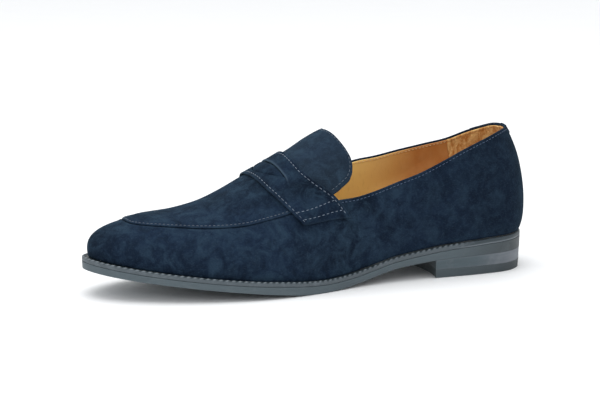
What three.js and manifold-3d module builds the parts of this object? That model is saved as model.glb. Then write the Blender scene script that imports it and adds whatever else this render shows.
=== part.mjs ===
// A left penny loafer as its separate cut and moulded pieces.
//
// Shape numbers are in millimetres, in shoemaker's terms: a station is the distance forward from
// the back of the heel, across is the distance from the centre line towards the outer side, and
// height is above the floor. In the finished group the toe points along -Y, the outer side is +X,
// +Z is up, and the origin is on the floor under the middle of the shoe.
import * as THREE from 'three';
import { mergeVertices } from 'three/addons/utils/BufferGeometryUtils.js';
import Module from 'manifold-3d';

const wasm = await Module();
wasm.setup();

// Driving dimensions
const LENGTH = 300;
const HEEL_BREAST = 74;
const BREAST_CURVE = 5;
const GAP = 0.3;
const SUEDE = 1.4;
const APRON_SUEDE = 1.3;
const LINING = 0.9;
const LINING_GAP = 0.45;
const STIFFENER = 1.1;
const STIFFENER_GAP = 0.5;
const INSOLE = 2.4;
const SOCK = 1.2;
const TOP_PIECE = 5.7;
const LASTING_MARGIN = 10;
const WELT_WIDTH = 9;
const TURN_STEPS = 76;

// Plan outline of the sole edge, [across, station], from the back of the heel round by the outer side
const SOLE_OUTLINE = [
  [0, 0], [17, 4], [29, 17], [33, 38], [33.5, 72], [34.5, 100], [39, 130], [47, 160],
  [51.5, 185], [51, 208], [45.5, 235], [36, 260], [24, 281], [10, 295], [-5, 300], [-19, 295],
  [-31, 281], [-41, 260], [-48, 235], [-50, 208], [-46, 180], [-36, 150], [-28.5, 122],
  [-28, 100], [-31, 72], [-33, 38], [-29, 17], [-17, 4],
];

// Profiles along the shoe, [station, value]
const TREAD = [
  [0, 13.4], [40, 13], [72, 12], [90, 10.3], [105, 8.4], [120, 5], [133, 2.2], [147, 0.5],
  [156, 0.06], [164, 0.06], [173, 0.6], [185, 1.9], [210, 4.9], [240, 8.6], [270, 12.6],
  [290, 15.6], [300, 17.2],
];
const OUTSOLE_THICKNESS = [
  [0, 8], [40, 6.6], [72, 5.2], [110, 4.4], [150, 5], [175, 5.4], [210, 4.6], [260, 4.3], [300, 4.7],
];
const WELT_THICKNESS = [[0, 3.2], [60, 3], [110, 2.7], [300, 2.7]];
const WELT_LEDGE = [[0, 1.2], [35, 1.9], [72, 2.5], [110, 3], [160, 4], [300, 3.8]];
const RIDGE_HEIGHT = [
  [0, 117], [40, 113.5], [80, 109], [110, 104.5], [130, 100], [140, 97.2], [150, 92.4], [160, 86],
  [170, 80.3], [180, 74.8], [191, 69], [205, 61.3], [218, 55.8], [231, 52.7], [245, 51], [258, 50.3],
  [272, 49.8], [300, 50],
];
const RIDGE_ACROSS = [[0, 0], [100, 0], [150, -1], [200, -2], [250, -4], [300, -5]];
const SQUARENESS = [
  [0, 2.28], [60, 2.6], [110, 2.4], [150, 2.1], [180, 1.95], [210, 2.1], [240, 2.5], [270, 2.9],
  [300, 3.2],
];
const SIDE_BULGE = [[0, 4.9], [40, 3], [72, 3], [110, 4.5], [150, 3.5], [190, 2.5], [300, 1.5]];
const BULGE_HEIGHT = 8;
const SPINE_BACK = 45;
const SPINE_FRONT = 215;

// Upper edges as a fraction of the way from the ridge (0) out to the sole (1), by station
const TOPLINE = [
  [0, 0.708], [12, 0.728], [33, 0.793], [49, 0.837], [66, 0.875], [83, 0.896], [100, 0.9],
  [117, 0.896], [135, 0.875], [146, 0.85], [155, 0.828], [168, 0.8],
];
const INNER_TOPLINE = [
  [0, 0.71], [2, 0.718], [8, 0.749], [18, 0.79], [34, 0.841], [53, 0.863], [76, 0.867],
  [92, 0.862], [108, 0.846], [120, 0.838], [133, 0.832], [150, 0.822], [168, 0.8],
];
const VAMP_FRONT = [
  [177, 0.73], [183, 0.69], [205, 0.68], [232, 0.665], [250, 0.65], [285, 0.64], [300, 0.6],
];
const LINING_FRONT = [
  [182, 0.775], [205, 0.77], [219, 0.76], [232, 0.75], [250, 0.735], [270, 0.735], [285, 0.72],
  [300, 0.685],
];

// Apron, tongue and strap outlines: fraction of the half width against station
const APRON_HALF_WIDTH = 0.78;
const APRON_SHOULDER = 200;
const APRON_TIP = 273;
const APRON_POWER = 3.4;
const APRON_TIP_POWER = 2.6;
const APRON_EDGE_RISE = 0.9;
const SKIVE = 0.85;
const TONGUE_HALF_WIDTH = 0.812;
const TONGUE_INNER_SHARE = 0.965;
const TONGUE_END = [
  [0, 140.5], [0.25, 138], [0.43, 135.2], [0.57, 132.8], [0.66, 131.3], [0.73, 131.5],
  [0.775, 133.2], [0.8, 136.8], [0.812, 143],
];
const STRAP_FRONT = { centre: 192, sweep: 19.6, halfWidth: 0.866 };
const STRAP_BACK = { centre: 166, sweep: 29.3, halfWidth: 0.935 };
const STRAP_SWEEP_POWER = 3.5;
const SPLIT_COVER = 5;
const TONGUE_FRONT_GAP = 0.6;
const SLOT_TIP = [23.6, 174.6];
const SLOT_BACK = 176.3;
const SLOT_FRONT = 186.5;

// Reading the profiles

// A smooth curve through [position, value] pairs, held flat past both ends
function curve(pairs) {
  const x = pairs.map((pair) => pair[0]);
  const y = pairs.map((pair) => pair[1]);
  const last = x.length - 1;
  const slope = x.map((_, i) => {
    if (i === 0) return (y[1] - y[0]) / (x[1] - x[0]);
    if (i === last) return (y[last] - y[last - 1]) / (x[last] - x[last - 1]);
    const before = x[i] - x[i - 1];
    const after = x[i + 1] - x[i];
    const mixed = before ** 2 * y[i + 1] + (after ** 2 - before ** 2) * y[i] - after ** 2 * y[i - 1];
    return mixed / (before * after * (before + after));
  });
  return (position) => {
    const p = THREE.MathUtils.clamp(position, x[0], x[last]);
    let i = 0;
    while (i < last - 1 && p > x[i + 1]) i += 1;
    const width = x[i + 1] - x[i];
    const t = (p - x[i]) / width;
    const a = (2 * t - 3) * t * t + 1;
    const b = ((t - 2) * t + 1) * t * width;
    const c = (3 - 2 * t) * t * t;
    const d = (t - 1) * t * t * width;
    return a * y[i] + b * slope[i] + c * y[i + 1] + d * slope[i + 1];
  };
}

const treadAt = curve(TREAD);
const outsoleThickness = curve(OUTSOLE_THICKNESS);
const weltThickness = curve(WELT_THICKNESS);
const weltLedge = curve(WELT_LEDGE);
const ridgeHeight = curve(RIDGE_HEIGHT);
const ridgeAcross = curve(RIDGE_ACROSS);
const squareness = curve(SQUARENESS);
const sideBulge = curve(SIDE_BULGE);
const vampEdge = {
  outer: curve([...TOPLINE, ...VAMP_FRONT]),
  inner: curve([...INNER_TOPLINE, ...VAMP_FRONT]),
};
const liningEdge = {
  outer: curve([...TOPLINE, ...LINING_FRONT]),
  inner: curve([...INNER_TOPLINE, ...LINING_FRONT]),
};
const tongueEnd = curve(TONGUE_END);
const soleTopAt = (station) => treadAt(station) + outsoleThickness(station);
const weltTopAt = (station) => soleTopAt(station) + weltThickness(station);
const { smoothstep, lerp } = THREE.MathUtils;

const outline = new THREE.CatmullRomCurve3(
  SOLE_OUTLINE.map(([across, station]) => new THREE.Vector3(across, station, 0)),
  true,
  'centripetal',
);
outline.arcLengthDivisions = 1200;

// A point on the plan outline moved in by a distance; turn runs 0 to 1 once round from the heel
function soleEdge(turn, inset) {
  const wrapped = turn - Math.floor(turn);
  const point = outline.getPointAt(wrapped);
  const tangent = outline.getTangentAt(wrapped);
  return [point.x - tangent.y * inset, point.y + tangent.x * inset];
}

function feather(turn) {
  const ledge = weltLedge(soleEdge(turn, 0)[1]);
  return soleEdge(turn, ledge);
}

// The turn at which a function of the turn reaches a value, on a stretch where it only rises
function solve(func, low, high, value) {
  let a = low;
  let b = high;
  for (let i = 0; i < 36; i += 1) {
    const middle = (a + b) / 2;
    if (func(middle) < value) a = middle;
    else b = middle;
  }
  return (a + b) / 2;
}

function findToeTurn() {
  let best = 0.5;
  for (let turn = 0.4; turn < 0.6; turn += 0.0005) {
    if (soleEdge(turn, 0)[1] > soleEdge(best, 0)[1]) best = turn;
  }
  return best;
}

const TOE_TURN = findToeTurn();

// The outer surface of the upper. Angle runs from 0 at the sole to 90 degrees on the ridge.
function skin(turn, angle) {
  const [footAcross, footStation] = feather(turn);
  const share = THREE.MathUtils.clamp(footStation / LENGTH, 0, 1);
  const spineStation = lerp(SPINE_BACK, SPINE_FRONT, share);
  const spineAcross = ridgeAcross(spineStation);
  const power = 2 / squareness(footStation);
  const out = Math.max(Math.cos(angle), 0) ** power;
  const up = Math.max(Math.sin(angle), 0) ** power;
  const dx = footAcross - spineAcross;
  const ds = footStation - spineStation;
  const reach = Math.hypot(dx, ds);
  const middle = spineStation + out * ds;
  const rise = (ridgeHeight(middle) - weltTopAt(middle)) * up;
  const bulge = sideBulge(footStation) * (1 - Math.exp(-rise / BULGE_HEIGHT));
  const radius = (reach + bulge) * out / reach;
  const station = spineStation + ds * radius;
  const base = weltTopAt(station);
  return [spineAcross + dx * radius, station, base + (ridgeHeight(station) - base) * up];
}

const subtract = (a, b) => [a[0] - b[0], a[1] - b[1], a[2] - b[2]];

function offsetPoint(point, alongA, alongB, distance) {
  const [ax, ay, az] = alongA;
  const [bx, by, bz] = alongB;
  const normal = [ay * bz - az * by, az * bx - ax * bz, ax * by - ay * bx];
  const size = Math.hypot(...normal);
  const scale = distance / size;
  return point.map((value, i) => value + normal[i] * scale);
}

const STEP = 1e-3;

// A point of the upper moved off the outer surface, outwards when the distance is positive
function sidePoint(turn, angle, distance) {
  const around = subtract(skin(turn + STEP, angle), skin(turn - STEP, angle));
  const upward = subtract(skin(turn, angle + STEP), skin(turn, Math.max(angle - STEP, 0)));
  return offsetPoint(skin(turn, angle), around, upward, distance);
}

function angleAtFraction(turn, fraction) {
  const power = squareness(feather(turn)[1]) / 2;
  return Math.acos(fraction ** power);
}

function angleAtHeight(turn, height) {
  const station = feather(turn)[1];
  const power = squareness(station) / 2;
  return Math.asin((height / (ridgeHeight(station) - weltTopAt(station))) ** power);
}

// The fraction at which the middle line of the toe reaches a station
const toeStation = (fraction) => skin(TOE_TURN, angleAtFraction(TOE_TURN, fraction))[1];
const SPINE_END = toeStation(0);
const leastFraction = (station) => (station <= SPINE_END ? 0 : solve(toeStation, 0, 1, station));

// The same surface by station and by side, -1 at the inner edge to 1 at the outer edge
function crown(station, side) {
  const least = leastFraction(station);
  const fraction = Math.min(Math.sqrt(least ** 2 + (1 - least ** 2) * side ** 2), 1);
  const stationAt = (turn) => skin(turn, angleAtFraction(turn, fraction))[1];
  const turn = side >= 0
    ? solve(stationAt, 0, TOE_TURN, station)
    : 1 - solve((back) => stationAt(1 - back), 0, 1 - TOE_TURN, station);
  return skin(turn, angleAtFraction(turn, fraction));
}

function crownPoint(station, side, distance) {
  const along = subtract(crown(station + 0.2, side), crown(station - 0.2, side));
  const sideways = subtract(crown(station, side + STEP), crown(station, side - STEP));
  return offsetPoint(crown(station, side), along, sideways, -distance);
}

// Building solids

function geometryFrom(positions) {
  const geometry = new THREE.BufferGeometry();
  geometry.setAttribute('position', new THREE.Float32BufferAttribute(positions, 3));
  return mergeVertices(geometry, 1e-4);
}

function signedVolume(triangles) {
  return triangles.reduce((sum, [a, b, c]) => {
    const cross = [b[1] * c[2] - b[2] * c[1], b[2] * c[0] - b[0] * c[2], b[0] * c[1] - b[1] * c[0]];
    return sum + a[0] * cross[0] + a[1] * cross[1] + a[2] * cross[2];
  }, 0);
}

const apart = (a, b) => Math.hypot(...subtract(a, b)) > 1e-3;

// A closed solid between two grids of points with the same layout; looped joins last row to first
function solidBetween(upper, lower, looped = false) {
  const rows = upper.length;
  const columns = upper[0].length;
  const triangles = [];
  const addTriangle = (a, b, c) => {
    if (apart(a, b) && apart(b, c) && apart(c, a)) triangles.push([a, b, c]);
  };
  const addQuad = (a, b, c, d) => {
    addTriangle(a, b, c);
    addTriangle(a, c, d);
  };
  const rowEnd = looped ? rows : rows - 1;
  for (let i = 0; i < rowEnd; i += 1) {
    const next = (i + 1) % rows;
    for (let j = 0; j < columns - 1; j += 1) {
      addQuad(upper[i][j], upper[next][j], upper[next][j + 1], upper[i][j + 1]);
      addQuad(lower[i][j], lower[i][j + 1], lower[next][j + 1], lower[next][j]);
    }
    addQuad(lower[i][0], lower[next][0], upper[next][0], upper[i][0]);
    const end = columns - 1;
    addQuad(upper[i][end], upper[next][end], lower[next][end], lower[i][end]);
  }
  if (!looped) {
    const last = rows - 1;
    for (let j = 0; j < columns - 1; j += 1) {
      addQuad(upper[0][j], upper[0][j + 1], lower[0][j + 1], lower[0][j]);
      addQuad(lower[last][j], lower[last][j + 1], upper[last][j + 1], upper[last][j]);
    }
  }
  const placed = triangles.map((corners) => corners.map(([across, station, z]) => [across, -station, z]));
  const outward = signedVolume(placed) > 0;
  const positions = placed.flatMap(([a, b, c]) => (outward ? [...a, ...b, ...c] : [...a, ...c, ...b]));
  return geometryFrom(positions);
}

const range = (count) => Array.from({ length: count + 1 }, (_, i) => i / count);
const grid = (rows, columns, func) => rows.map((row) => columns.map((column) => func(row, column)));

// Stations from one place to another, closer together towards a rounded end
function stationsBetween(from, to, count, roundBack, roundFront) {
  return range(count).map((t) => {
    let share = t;
    if (roundBack && roundFront) share = (1 - Math.cos(Math.PI * t)) / 2;
    else if (roundBack) share = 1 - Math.cos(Math.PI * t / 2);
    else if (roundFront) share = Math.sin(Math.PI * t / 2);
    return lerp(from, to, share);
  });
}

// The across position of the plan edge at a station, on one side, moved in by a distance
function edgeAcross(station, inset, outer) {
  const stationOf = (turn) => soleEdge(turn, inset)[1];
  const turn = outer
    ? solve(stationOf, 0, TOE_TURN, station)
    : 1 - solve((back) => stationOf(1 - back), 0, 1 - TOE_TURN, station);
  return soleEdge(turn, inset)[0];
}

// A flat layer cut to the plan outline less an inset, between two heights given by station.
// Breast curves the front end of a heel layer back towards the middle.
function layer({ from = 0, to = LENGTH, inset, low, high, count = 34, lowInset = inset, breast = 0 }) {
  const roundBack = from === 0;
  const roundFront = to === LENGTH;
  const columns = range(breast > 0 ? 6 : 2).map((t) => 2 * t - 1);
  const face = (edge, height) => {
    const start = roundBack ? soleEdge(0, edge)[1] : from;
    const end = roundFront ? soleEdge(TOE_TURN, edge)[1] : to;
    const shares = stationsBetween(0, 1, count, roundBack, roundFront);
    return grid(shares, columns, (share, column) => {
      const station = lerp(start, end, share);
      const atTip = (roundBack && share === 0) || (roundFront && share === 1);
      const outerEdge = edgeAcross(station, edge, true);
      const innerEdge = edgeAcross(station, edge, false);
      const half = atTip ? 0 : (outerEdge - innerEdge) / 2;
      const place = station - breast * share * (1 - column ** 2);
      return [(outerEdge + innerEdge) / 2 + half * column, place, height(place)];
    });
  };
  return solidBetween(face(inset, high), face(lowInset, low));
}

// A closed geometry as a solid that can be cut
function toSolid(geometry) {
  const plain = new THREE.BufferGeometry();
  plain.setAttribute('position', geometry.getAttribute('position').clone());
  plain.setIndex(geometry.getIndex());
  const merged = mergeVertices(plain, 1e-4);
  const vertProperties = Float32Array.from(merged.getAttribute('position').array);
  const triVerts = Uint32Array.from(merged.getIndex().array);
  return new wasm.Manifold(new wasm.Mesh({ numProp: 3, vertProperties, triVerts }));
}

function cutFrom(blank, tools) {
  const solid = tools.reduce((left, tool) => left.subtract(toSolid(tool)), toSolid(blank));
  const mesh = solid.getMesh();
  const geometry = new THREE.BufferGeometry();
  geometry.setAttribute('position', new THREE.Float32BufferAttribute(mesh.vertProperties, 3));
  geometry.setIndex(Array.from(mesh.triVerts));
  return geometry;
}

const parts = new THREE.Group();

function addPart(name, geometry, color, roughness, metalness = 0) {
  geometry.computeVertexNormals();
  const material = new THREE.MeshStandardMaterial({ color, roughness, metalness });
  const mesh = new THREE.Mesh(geometry, material);
  mesh.name = name;
  parts.add(mesh);
  return mesh;
}

const NAVY_SUEDE = 0x1f2d40;
const TAN_LEATHER = 0xcf9d5f;
const ROUGH_LEATHER = 0xb9783c;
const SOLE_GREY = 0x596468;
const RUBBER_GREY = 0x3f494d;
const FIBREBOARD = 0xb08a5c;
const CORK = 0x9a7348;
const STEEL = 0xb9bec2;
const FOAM_GREY = 0x8d8a84;
const COUNTER_BROWN = 0x7a5a3a;
const PUFF_CREAM = 0xd9d2c2;

// Heel nails: driven down through the outsole into the heel block, heads on top of the outsole

const NAIL_PLACES = [[0, 14], [17, 26], [-17, 26], [18, 52], [-18, 52]];
const NAIL_RADIUS = 0.8;
const NAIL_HEAD_RADIUS = 1.9;
const NAIL_HEAD = 0.9;
const NAIL_POINT_HEIGHT = 8.5;
const NAIL_POINT = 3;
const NAIL_SIDES = 10;
const NAIL_HOLE_DEPTH = 30;

function nailHole([across, station]) {
  const radius = NAIL_RADIUS + GAP;
  const hole = new THREE.CylinderGeometry(radius, radius, NAIL_HOLE_DEPTH, NAIL_SIDES);
  hole.rotateX(Math.PI / 2);
  hole.translate(across, -station, NAIL_POINT_HEIGHT - GAP + NAIL_HOLE_DEPTH / 2);
  return hole;
}

const nailHoles = NAIL_PLACES.map(nailHole);

NAIL_PLACES.forEach(([across, station], index) => {
  const length = soleTopAt(station) - NAIL_POINT_HEIGHT;
  const profile = [
    [0, 0], [NAIL_RADIUS, NAIL_POINT], [NAIL_RADIUS, length], [NAIL_HEAD_RADIUS, length],
    [NAIL_HEAD_RADIUS, length + NAIL_HEAD], [0, length + NAIL_HEAD],
  ].map(([radius, height]) => new THREE.Vector2(radius, height));
  const turned = new THREE.LatheGeometry(profile, NAIL_SIDES);
  const nail = addPart(`heel_nail_${index + 1}`, turned, STEEL, 0.4, 1);
  nail.rotation.x = Math.PI / 2;
  nail.position.set(across, -station, NAIL_POINT_HEIGHT);
});

// Bottom: outsole, welt and heel

addPart('outsole', cutFrom(layer({
  inset: 0,
  low: treadAt,
  high: (station) => soleTopAt(station) - GAP,
}), nailHoles), SOLE_GREY, 0.6);

function weltRing() {
  const turns = range(TURN_STEPS).slice(0, -1);
  const edges = [0, 1];
  const face = (height) => grid(turns, edges, (turn, inner) => {
    const [across, station] = soleEdge(turn, inner * WELT_WIDTH);
    return [across, station, height(station)];
  });
  return solidBetween(face((station) => weltTopAt(station) - GAP), face(soleTopAt), true);
}

addPart('welt', weltRing(), SOLE_GREY, 0.65);

addPart('heel_block', cutFrom(layer({
  to: HEEL_BREAST,
  inset: 0.4,
  lowInset: 0.7,
  low: () => TOP_PIECE + GAP,
  high: (station) => treadAt(station) - GAP,
  count: 16,
  breast: BREAST_CURVE,
}), nailHoles), SOLE_GREY, 0.55);

addPart('heel_top_piece', layer({
  to: HEEL_BREAST,
  inset: 0.7,
  lowInset: 1.1,
  low: () => 0,
  high: () => TOP_PIECE,
  count: 16,
  breast: BREAST_CURVE,
}), RUBBER_GREY, 0.8);

// Inside the bottom: what lies between the outsole and the foot

const insoleBottomAt = (station) => weltTopAt(station) + GAP + SUEDE + GAP;
const insoleTopAt = (station) => insoleBottomAt(station) + INSOLE;
const LINING_FOOT = SUEDE + INSOLE + 3 * GAP;
const INSOLE_INSET = 6.8;
const SOCK_INSET = 9.2;
const SHANK_START = 48;
const SHANK_END = 146;
const SHANK_HALF_WIDTH = 6;
const SHANK_THICKNESS = 1.2;
const SHANK_RIB = 0.8;
const SHANK_LIFT = 1.2;

addPart('cork_filler', layer({
  from: SHANK_END + 4,
  inset: WELT_WIDTH + LASTING_MARGIN / 2 + 1,
  low: soleTopAt,
  high: (station) => insoleBottomAt(station) - GAP,
  count: 24,
}), CORK, 0.9);

function shankStrip() {
  const stations = stationsBetween(SHANK_START, SHANK_END, 20, false, false);
  const places = [-SHANK_HALF_WIDTH, 0, SHANK_HALF_WIDTH];
  const strip = (height) => grid(stations, places, (station, across) => {
    const ribbed = across === 0 ? SHANK_RIB : 0;
    return [across, station, soleTopAt(station) + SHANK_LIFT + ribbed + height];
  });
  return solidBetween(strip(SHANK_THICKNESS), strip(0));
}

addPart('shank', shankStrip(), STEEL, 0.4, 1);

addPart('insole_board', layer({
  inset: INSOLE_INSET,
  low: insoleBottomAt,
  high: insoleTopAt,
}), FIBREBOARD, 0.9);

const PAD_END = 78;
const PAD_INSET = 12;
const PAD_THICKNESS = 1.6;
addPart('heel_pad', layer({
  to: PAD_END,
  inset: PAD_INSET,
  low: (station) => insoleTopAt(station) + GAP,
  high: (station) => insoleTopAt(station) + GAP + PAD_THICKNESS,
  count: 16,
}), FOAM_GREY, 0.95);

const padRise = (station) => (PAD_THICKNESS + GAP)
  * (1 - smoothstep(station, PAD_END + 1, PAD_END + 14));
addPart('sock_lining', layer({
  inset: SOCK_INSET,
  low: (station) => insoleTopAt(station) + GAP + padRise(station),
  high: (station) => insoleTopAt(station) + GAP + SOCK + padRise(station),
}), TAN_LEATHER, 0.6);

// Upper: pieces that wrap round the side walls

// Evenly spaced turns that every wrapped layer shares, so that the layers stay parallel
function turnsBetween(from, to) {
  const first = Math.ceil(from * TURN_STEPS + 0.2);
  const last = Math.floor(to * TURN_STEPS - 0.2);
  const inside = Array.from({ length: last - first + 1 }, (_, i) => (first + i) / TURN_STEPS);
  return [from, ...inside, to];
}

// A shell round the sides between two turns, from a height at its foot to a fraction at its top
function wall({ from, to, rows, foot, top, outer, inner, shoulder = null, lead = null }) {
  const turns = turnsBetween(from, to);
  const face = (depth, leadPoints) => turns.map((turn) => {
    const low = angleAtHeight(turn, foot);
    const high = Math.max(angleAtFraction(turn, top(turn)), low);
    const bend = shoulder ? angleAtFraction(turn, shoulder(turn)) : high;
    const angles = range(rows).map((t) => lerp(low, bend, t));
    if (shoulder) angles.push(high);
    const wallRow = angles.map((angle) => sidePoint(turn, angle, depth(turn, angle)));
    return [...(leadPoints ? leadPoints(turn) : []), ...wallRow];
  });
  return solidBetween(face(outer, lead && lead.outer), face(inner, lead && lead.inner));
}

function edgeFraction(edge, turn) {
  const station = feather(turn)[1];
  const whole = turn - Math.floor(turn);
  return whole > TOE_TURN ? edge.inner(station) : edge.outer(station);
}

// The folded margin of the vamp that is held between the insole board and the welt
function marginPoints(height, nearInset) {
  return (turn) => [LASTING_MARGIN, nearInset].map((inset) => {
    const ledge = weltLedge(soleEdge(turn, 0)[1]);
    const [across, station] = soleEdge(turn, ledge + inset);
    return [across, station, weltTopAt(station) + height];
  });
}

// How far a point of the apron is inside its outline, 0 at the edge
function apronInside(station, side) {
  const ahead = Math.max(0, (station - APRON_SHOULDER) / (APRON_TIP - APRON_SHOULDER));
  return 1 - ahead ** APRON_TIP_POWER - Math.abs(side / APRON_HALF_WIDTH) ** APRON_POWER;
}

// The fraction at which the apron's edge crosses each turn
function seamFraction(turn) {
  const outside = (fraction) => {
    const station = skin(turn, angleAtFraction(turn, fraction))[1];
    const least = leastFraction(station);
    const side = Math.sqrt(Math.max(fraction ** 2 - least ** 2, 0) / (1 - least ** 2));
    return -apronInside(station, side);
  };
  return solve(outside, 0.3, 0.98, 0);
}

// The vamp is thinned from the outside where the apron laps over it
const SKIVE_COVER = 0.022;
const SKIVE_LEAST = 0.015;
const vampTop = (turn) => edgeFraction(vampEdge, turn);
const vampShoulder = (turn) => Math.max(vampTop(turn) + SKIVE_LEAST, seamFraction(turn) + SKIVE_COVER);

function vampOuter(turn, angle) {
  const lapped = smoothstep(feather(turn)[1], 160, 170);
  if (lapped === 0) return 0;
  const thinned = angle > angleAtFraction(turn, vampShoulder(turn)) - STEP;
  return thinned ? -SKIVE * lapped : 0;
}

const SEAM_SLIT = 0.0004;
addPart('vamp', wall({
  from: SEAM_SLIT,
  to: 1 - SEAM_SLIT,
  rows: 6,
  foot: 2.6,
  top: vampTop,
  shoulder: vampShoulder,
  outer: vampOuter,
  inner: () => -SUEDE,
  lead: {
    outer: marginPoints(GAP, 0.2),
    inner: marginPoints(GAP + SUEDE, 1.9),
  },
}), NAVY_SUEDE, 0.95);

// Linings step inwards where a stiffener lies behind the suede

const COUNTER_END = 88;
const PUFF_START = 240;
const COUNTER_BACK_HEIGHT = 44;
const COUNTER_END_HEIGHT = 26;
const PUFF_HEIGHT = 14;

function counterHeight(station) {
  return lerp(COUNTER_BACK_HEIGHT, COUNTER_END_HEIGHT, smoothstep(station, 20, COUNTER_END));
}

function riseAt(turn, angle) {
  const [, station, z] = skin(turn, angle);
  return z - weltTopAt(station);
}

function liningDepth(turn, angle) {
  const station = feather(turn)[1];
  const rise = riseAt(turn, angle);
  const overCounter = (1 - smoothstep(station, COUNTER_END + 1, COUNTER_END + 12))
    * (1 - smoothstep(rise, counterHeight(station) + 1, counterHeight(station) + 12));
  const overPuff = smoothstep(station, PUFF_START - 14, PUFF_START - 1)
    * (1 - smoothstep(rise, PUFF_HEIGHT + 1, PUFF_HEIGHT + 7));
  return SUEDE + LINING_GAP + (STIFFENER + STIFFENER_GAP) * Math.max(overCounter, overPuff);
}

const turnAt = (station, outer) => (outer
  ? solve((turn) => feather(turn)[1], 0, TOE_TURN, station)
  : 1 - solve((back) => feather(1 - back)[1], 0, 1 - TOE_TURN, station));

const fractionAtRise = (height) => (turn) => {
  const angle = angleAtHeight(turn, height);
  return Math.cos(angle) ** (2 / squareness(feather(turn)[1]));
};

function stiffener(from, to, height) {
  return wall({
    from,
    to,
    rows: 3,
    foot: LINING_FOOT,
    top: (turn) => fractionAtRise(height(feather(turn)[1]))(turn),
    outer: () => -SUEDE - STIFFENER_GAP,
    inner: () => -SUEDE - STIFFENER_GAP - STIFFENER,
  });
}

const counterEnd = turnAt(COUNTER_END, true);
const counterStart = turnAt(COUNTER_END, false) - 1;
addPart('heel_counter', stiffener(counterStart, counterEnd, counterHeight), COUNTER_BROWN, 0.7);
const puffStart = turnAt(PUFF_START, true);
const puffEnd = turnAt(PUFF_START, false);
addPart('toe_puff', stiffener(puffStart, puffEnd, () => PUFF_HEIGHT), PUFF_CREAM, 0.8);

function liningPiece(from, to) {
  return wall({
    from,
    to,
    rows: 6,
    foot: LINING_FOOT,
    top: (turn) => edgeFraction(liningEdge, turn),
    outer: (turn, angle) => -liningDepth(turn, angle),
    inner: (turn, angle) => -liningDepth(turn, angle) - LINING,
  });
}

const GRIP_END = 35;
const QUARTER_END = 122;
const JOIN = 0.0008;
const outerQuarter = [turnAt(GRIP_END, true), turnAt(QUARTER_END, true)];
const innerQuarter = [turnAt(QUARTER_END, false), turnAt(GRIP_END, false)];
addPart('heel_grip', liningPiece(innerQuarter[1] - 1, outerQuarter[0]), ROUGH_LEATHER, 0.95);
addPart('quarter_lining_lateral',
  liningPiece(outerQuarter[0] + JOIN, outerQuarter[1]), TAN_LEATHER, 0.55);
addPart('quarter_lining_medial',
  liningPiece(innerQuarter[0], innerQuarter[1] - JOIN), TAN_LEATHER, 0.55);
addPart('vamp_lining',
  liningPiece(outerQuarter[1] + JOIN, innerQuarter[0] - JOIN), TAN_LEATHER, 0.6);

// Thin band over the top of the back seam, longer on the inner side
const TAB_TURNS = [-0.05, 0.022];
const TAB_DEPTH = 0.085;
const TAB_THICKNESS = 0.6;
const TAB_SETBACK = 0.002;
function heelTab() {
  const turns = range(10).map((t) => lerp(...TAB_TURNS, t));
  const face = (distance) => grid(turns, range(3), (turn, t) => {
    const top = angleAtFraction(turn, edgeFraction(vampEdge, turn)) - TAB_SETBACK;
    return sidePoint(turn, top - TAB_DEPTH * t, distance);
  });
  return solidBetween(face(GAP + TAB_THICKNESS), face(GAP));
}

addPart('heel_tab', heelTab(), NAVY_SUEDE, 0.95);

// Upper: pieces that lie over the top

const apronRise = (station, side) => {
  const raised = 1 - smoothstep(apronInside(station, side), 0.3, 0.6);
  return APRON_EDGE_RISE * raised * smoothstep(station, 158, 168);
};

function strapEdge({ centre, sweep, halfWidth }, side) {
  return centre - sweep * (Math.abs(side) / halfWidth) ** STRAP_SWEEP_POWER;
}

const splitStation = (side) => strapEdge(STRAP_BACK, side) + SPLIT_COVER;

// Columns that keep an even spacing round a rounded front outline of the given half width
const apronColumns = (halfWidth, count) => range(2 * count).map((t) => {
  const swing = Math.PI * (t - 0.5);
  return Math.sign(swing) * halfWidth * (1 - Math.cos(swing) ** 1.3) ** 0.5;
});

function apronSheet({ halfWidth, tip, outer, inner, back, columns, rows }) {
  const sides = apronColumns(halfWidth, columns);
  const front = (side) => APRON_SHOULDER
    + (tip - APRON_SHOULDER)
    * Math.max(0, 1 - Math.abs(side / halfWidth) ** APRON_POWER) ** (1 / APRON_TIP_POWER);
  const stationAt = (t, side) => (t < 0.5
    ? lerp(back(side), APRON_SHOULDER, 2 * t)
    : lerp(APRON_SHOULDER, front(side), 2 * t - 1));
  const face = (distance) => grid(range(rows), sides, (t, side) => {
    const station = stationAt(t, side);
    return crownPoint(station, side, distance(station, side));
  });
  return solidBetween(face(outer), face(inner));
}

addPart('apron', apronSheet({
  halfWidth: APRON_HALF_WIDTH,
  tip: APRON_TIP,
  back: splitStation,
  columns: 11,
  rows: 16,
  outer: (station, side) => apronRise(station, side),
  inner: (station, side) => apronRise(station, side) - APRON_SUEDE,
}), NAVY_SUEDE, 0.95);

addPart('apron_lining', apronSheet({
  halfWidth: APRON_HALF_WIDTH * 0.955,
  tip: APRON_TIP - 5,
  back: (side) => splitStation(side) + 3,
  columns: 7,
  rows: 8,
  outer: () => -SUEDE - LINING_GAP,
  inner: () => -SUEDE - LINING_GAP - LINING,
}), TAN_LEATHER, 0.6);

function tongueSheet(halfWidth, outer, inner, endTrim) {
  const sides = apronColumns(halfWidth, 7);
  const face = (distance) => grid(range(6), sides, (t, swing) => {
    const side = swing < 0 ? swing * TONGUE_INNER_SHARE : swing;
    const front = splitStation(side) - TONGUE_FRONT_GAP;
    const back = tongueEnd(Math.abs(swing)) + endTrim;
    return crownPoint(lerp(back, front, t), side, distance);
  });
  return solidBetween(face(outer), face(inner));
}

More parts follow.
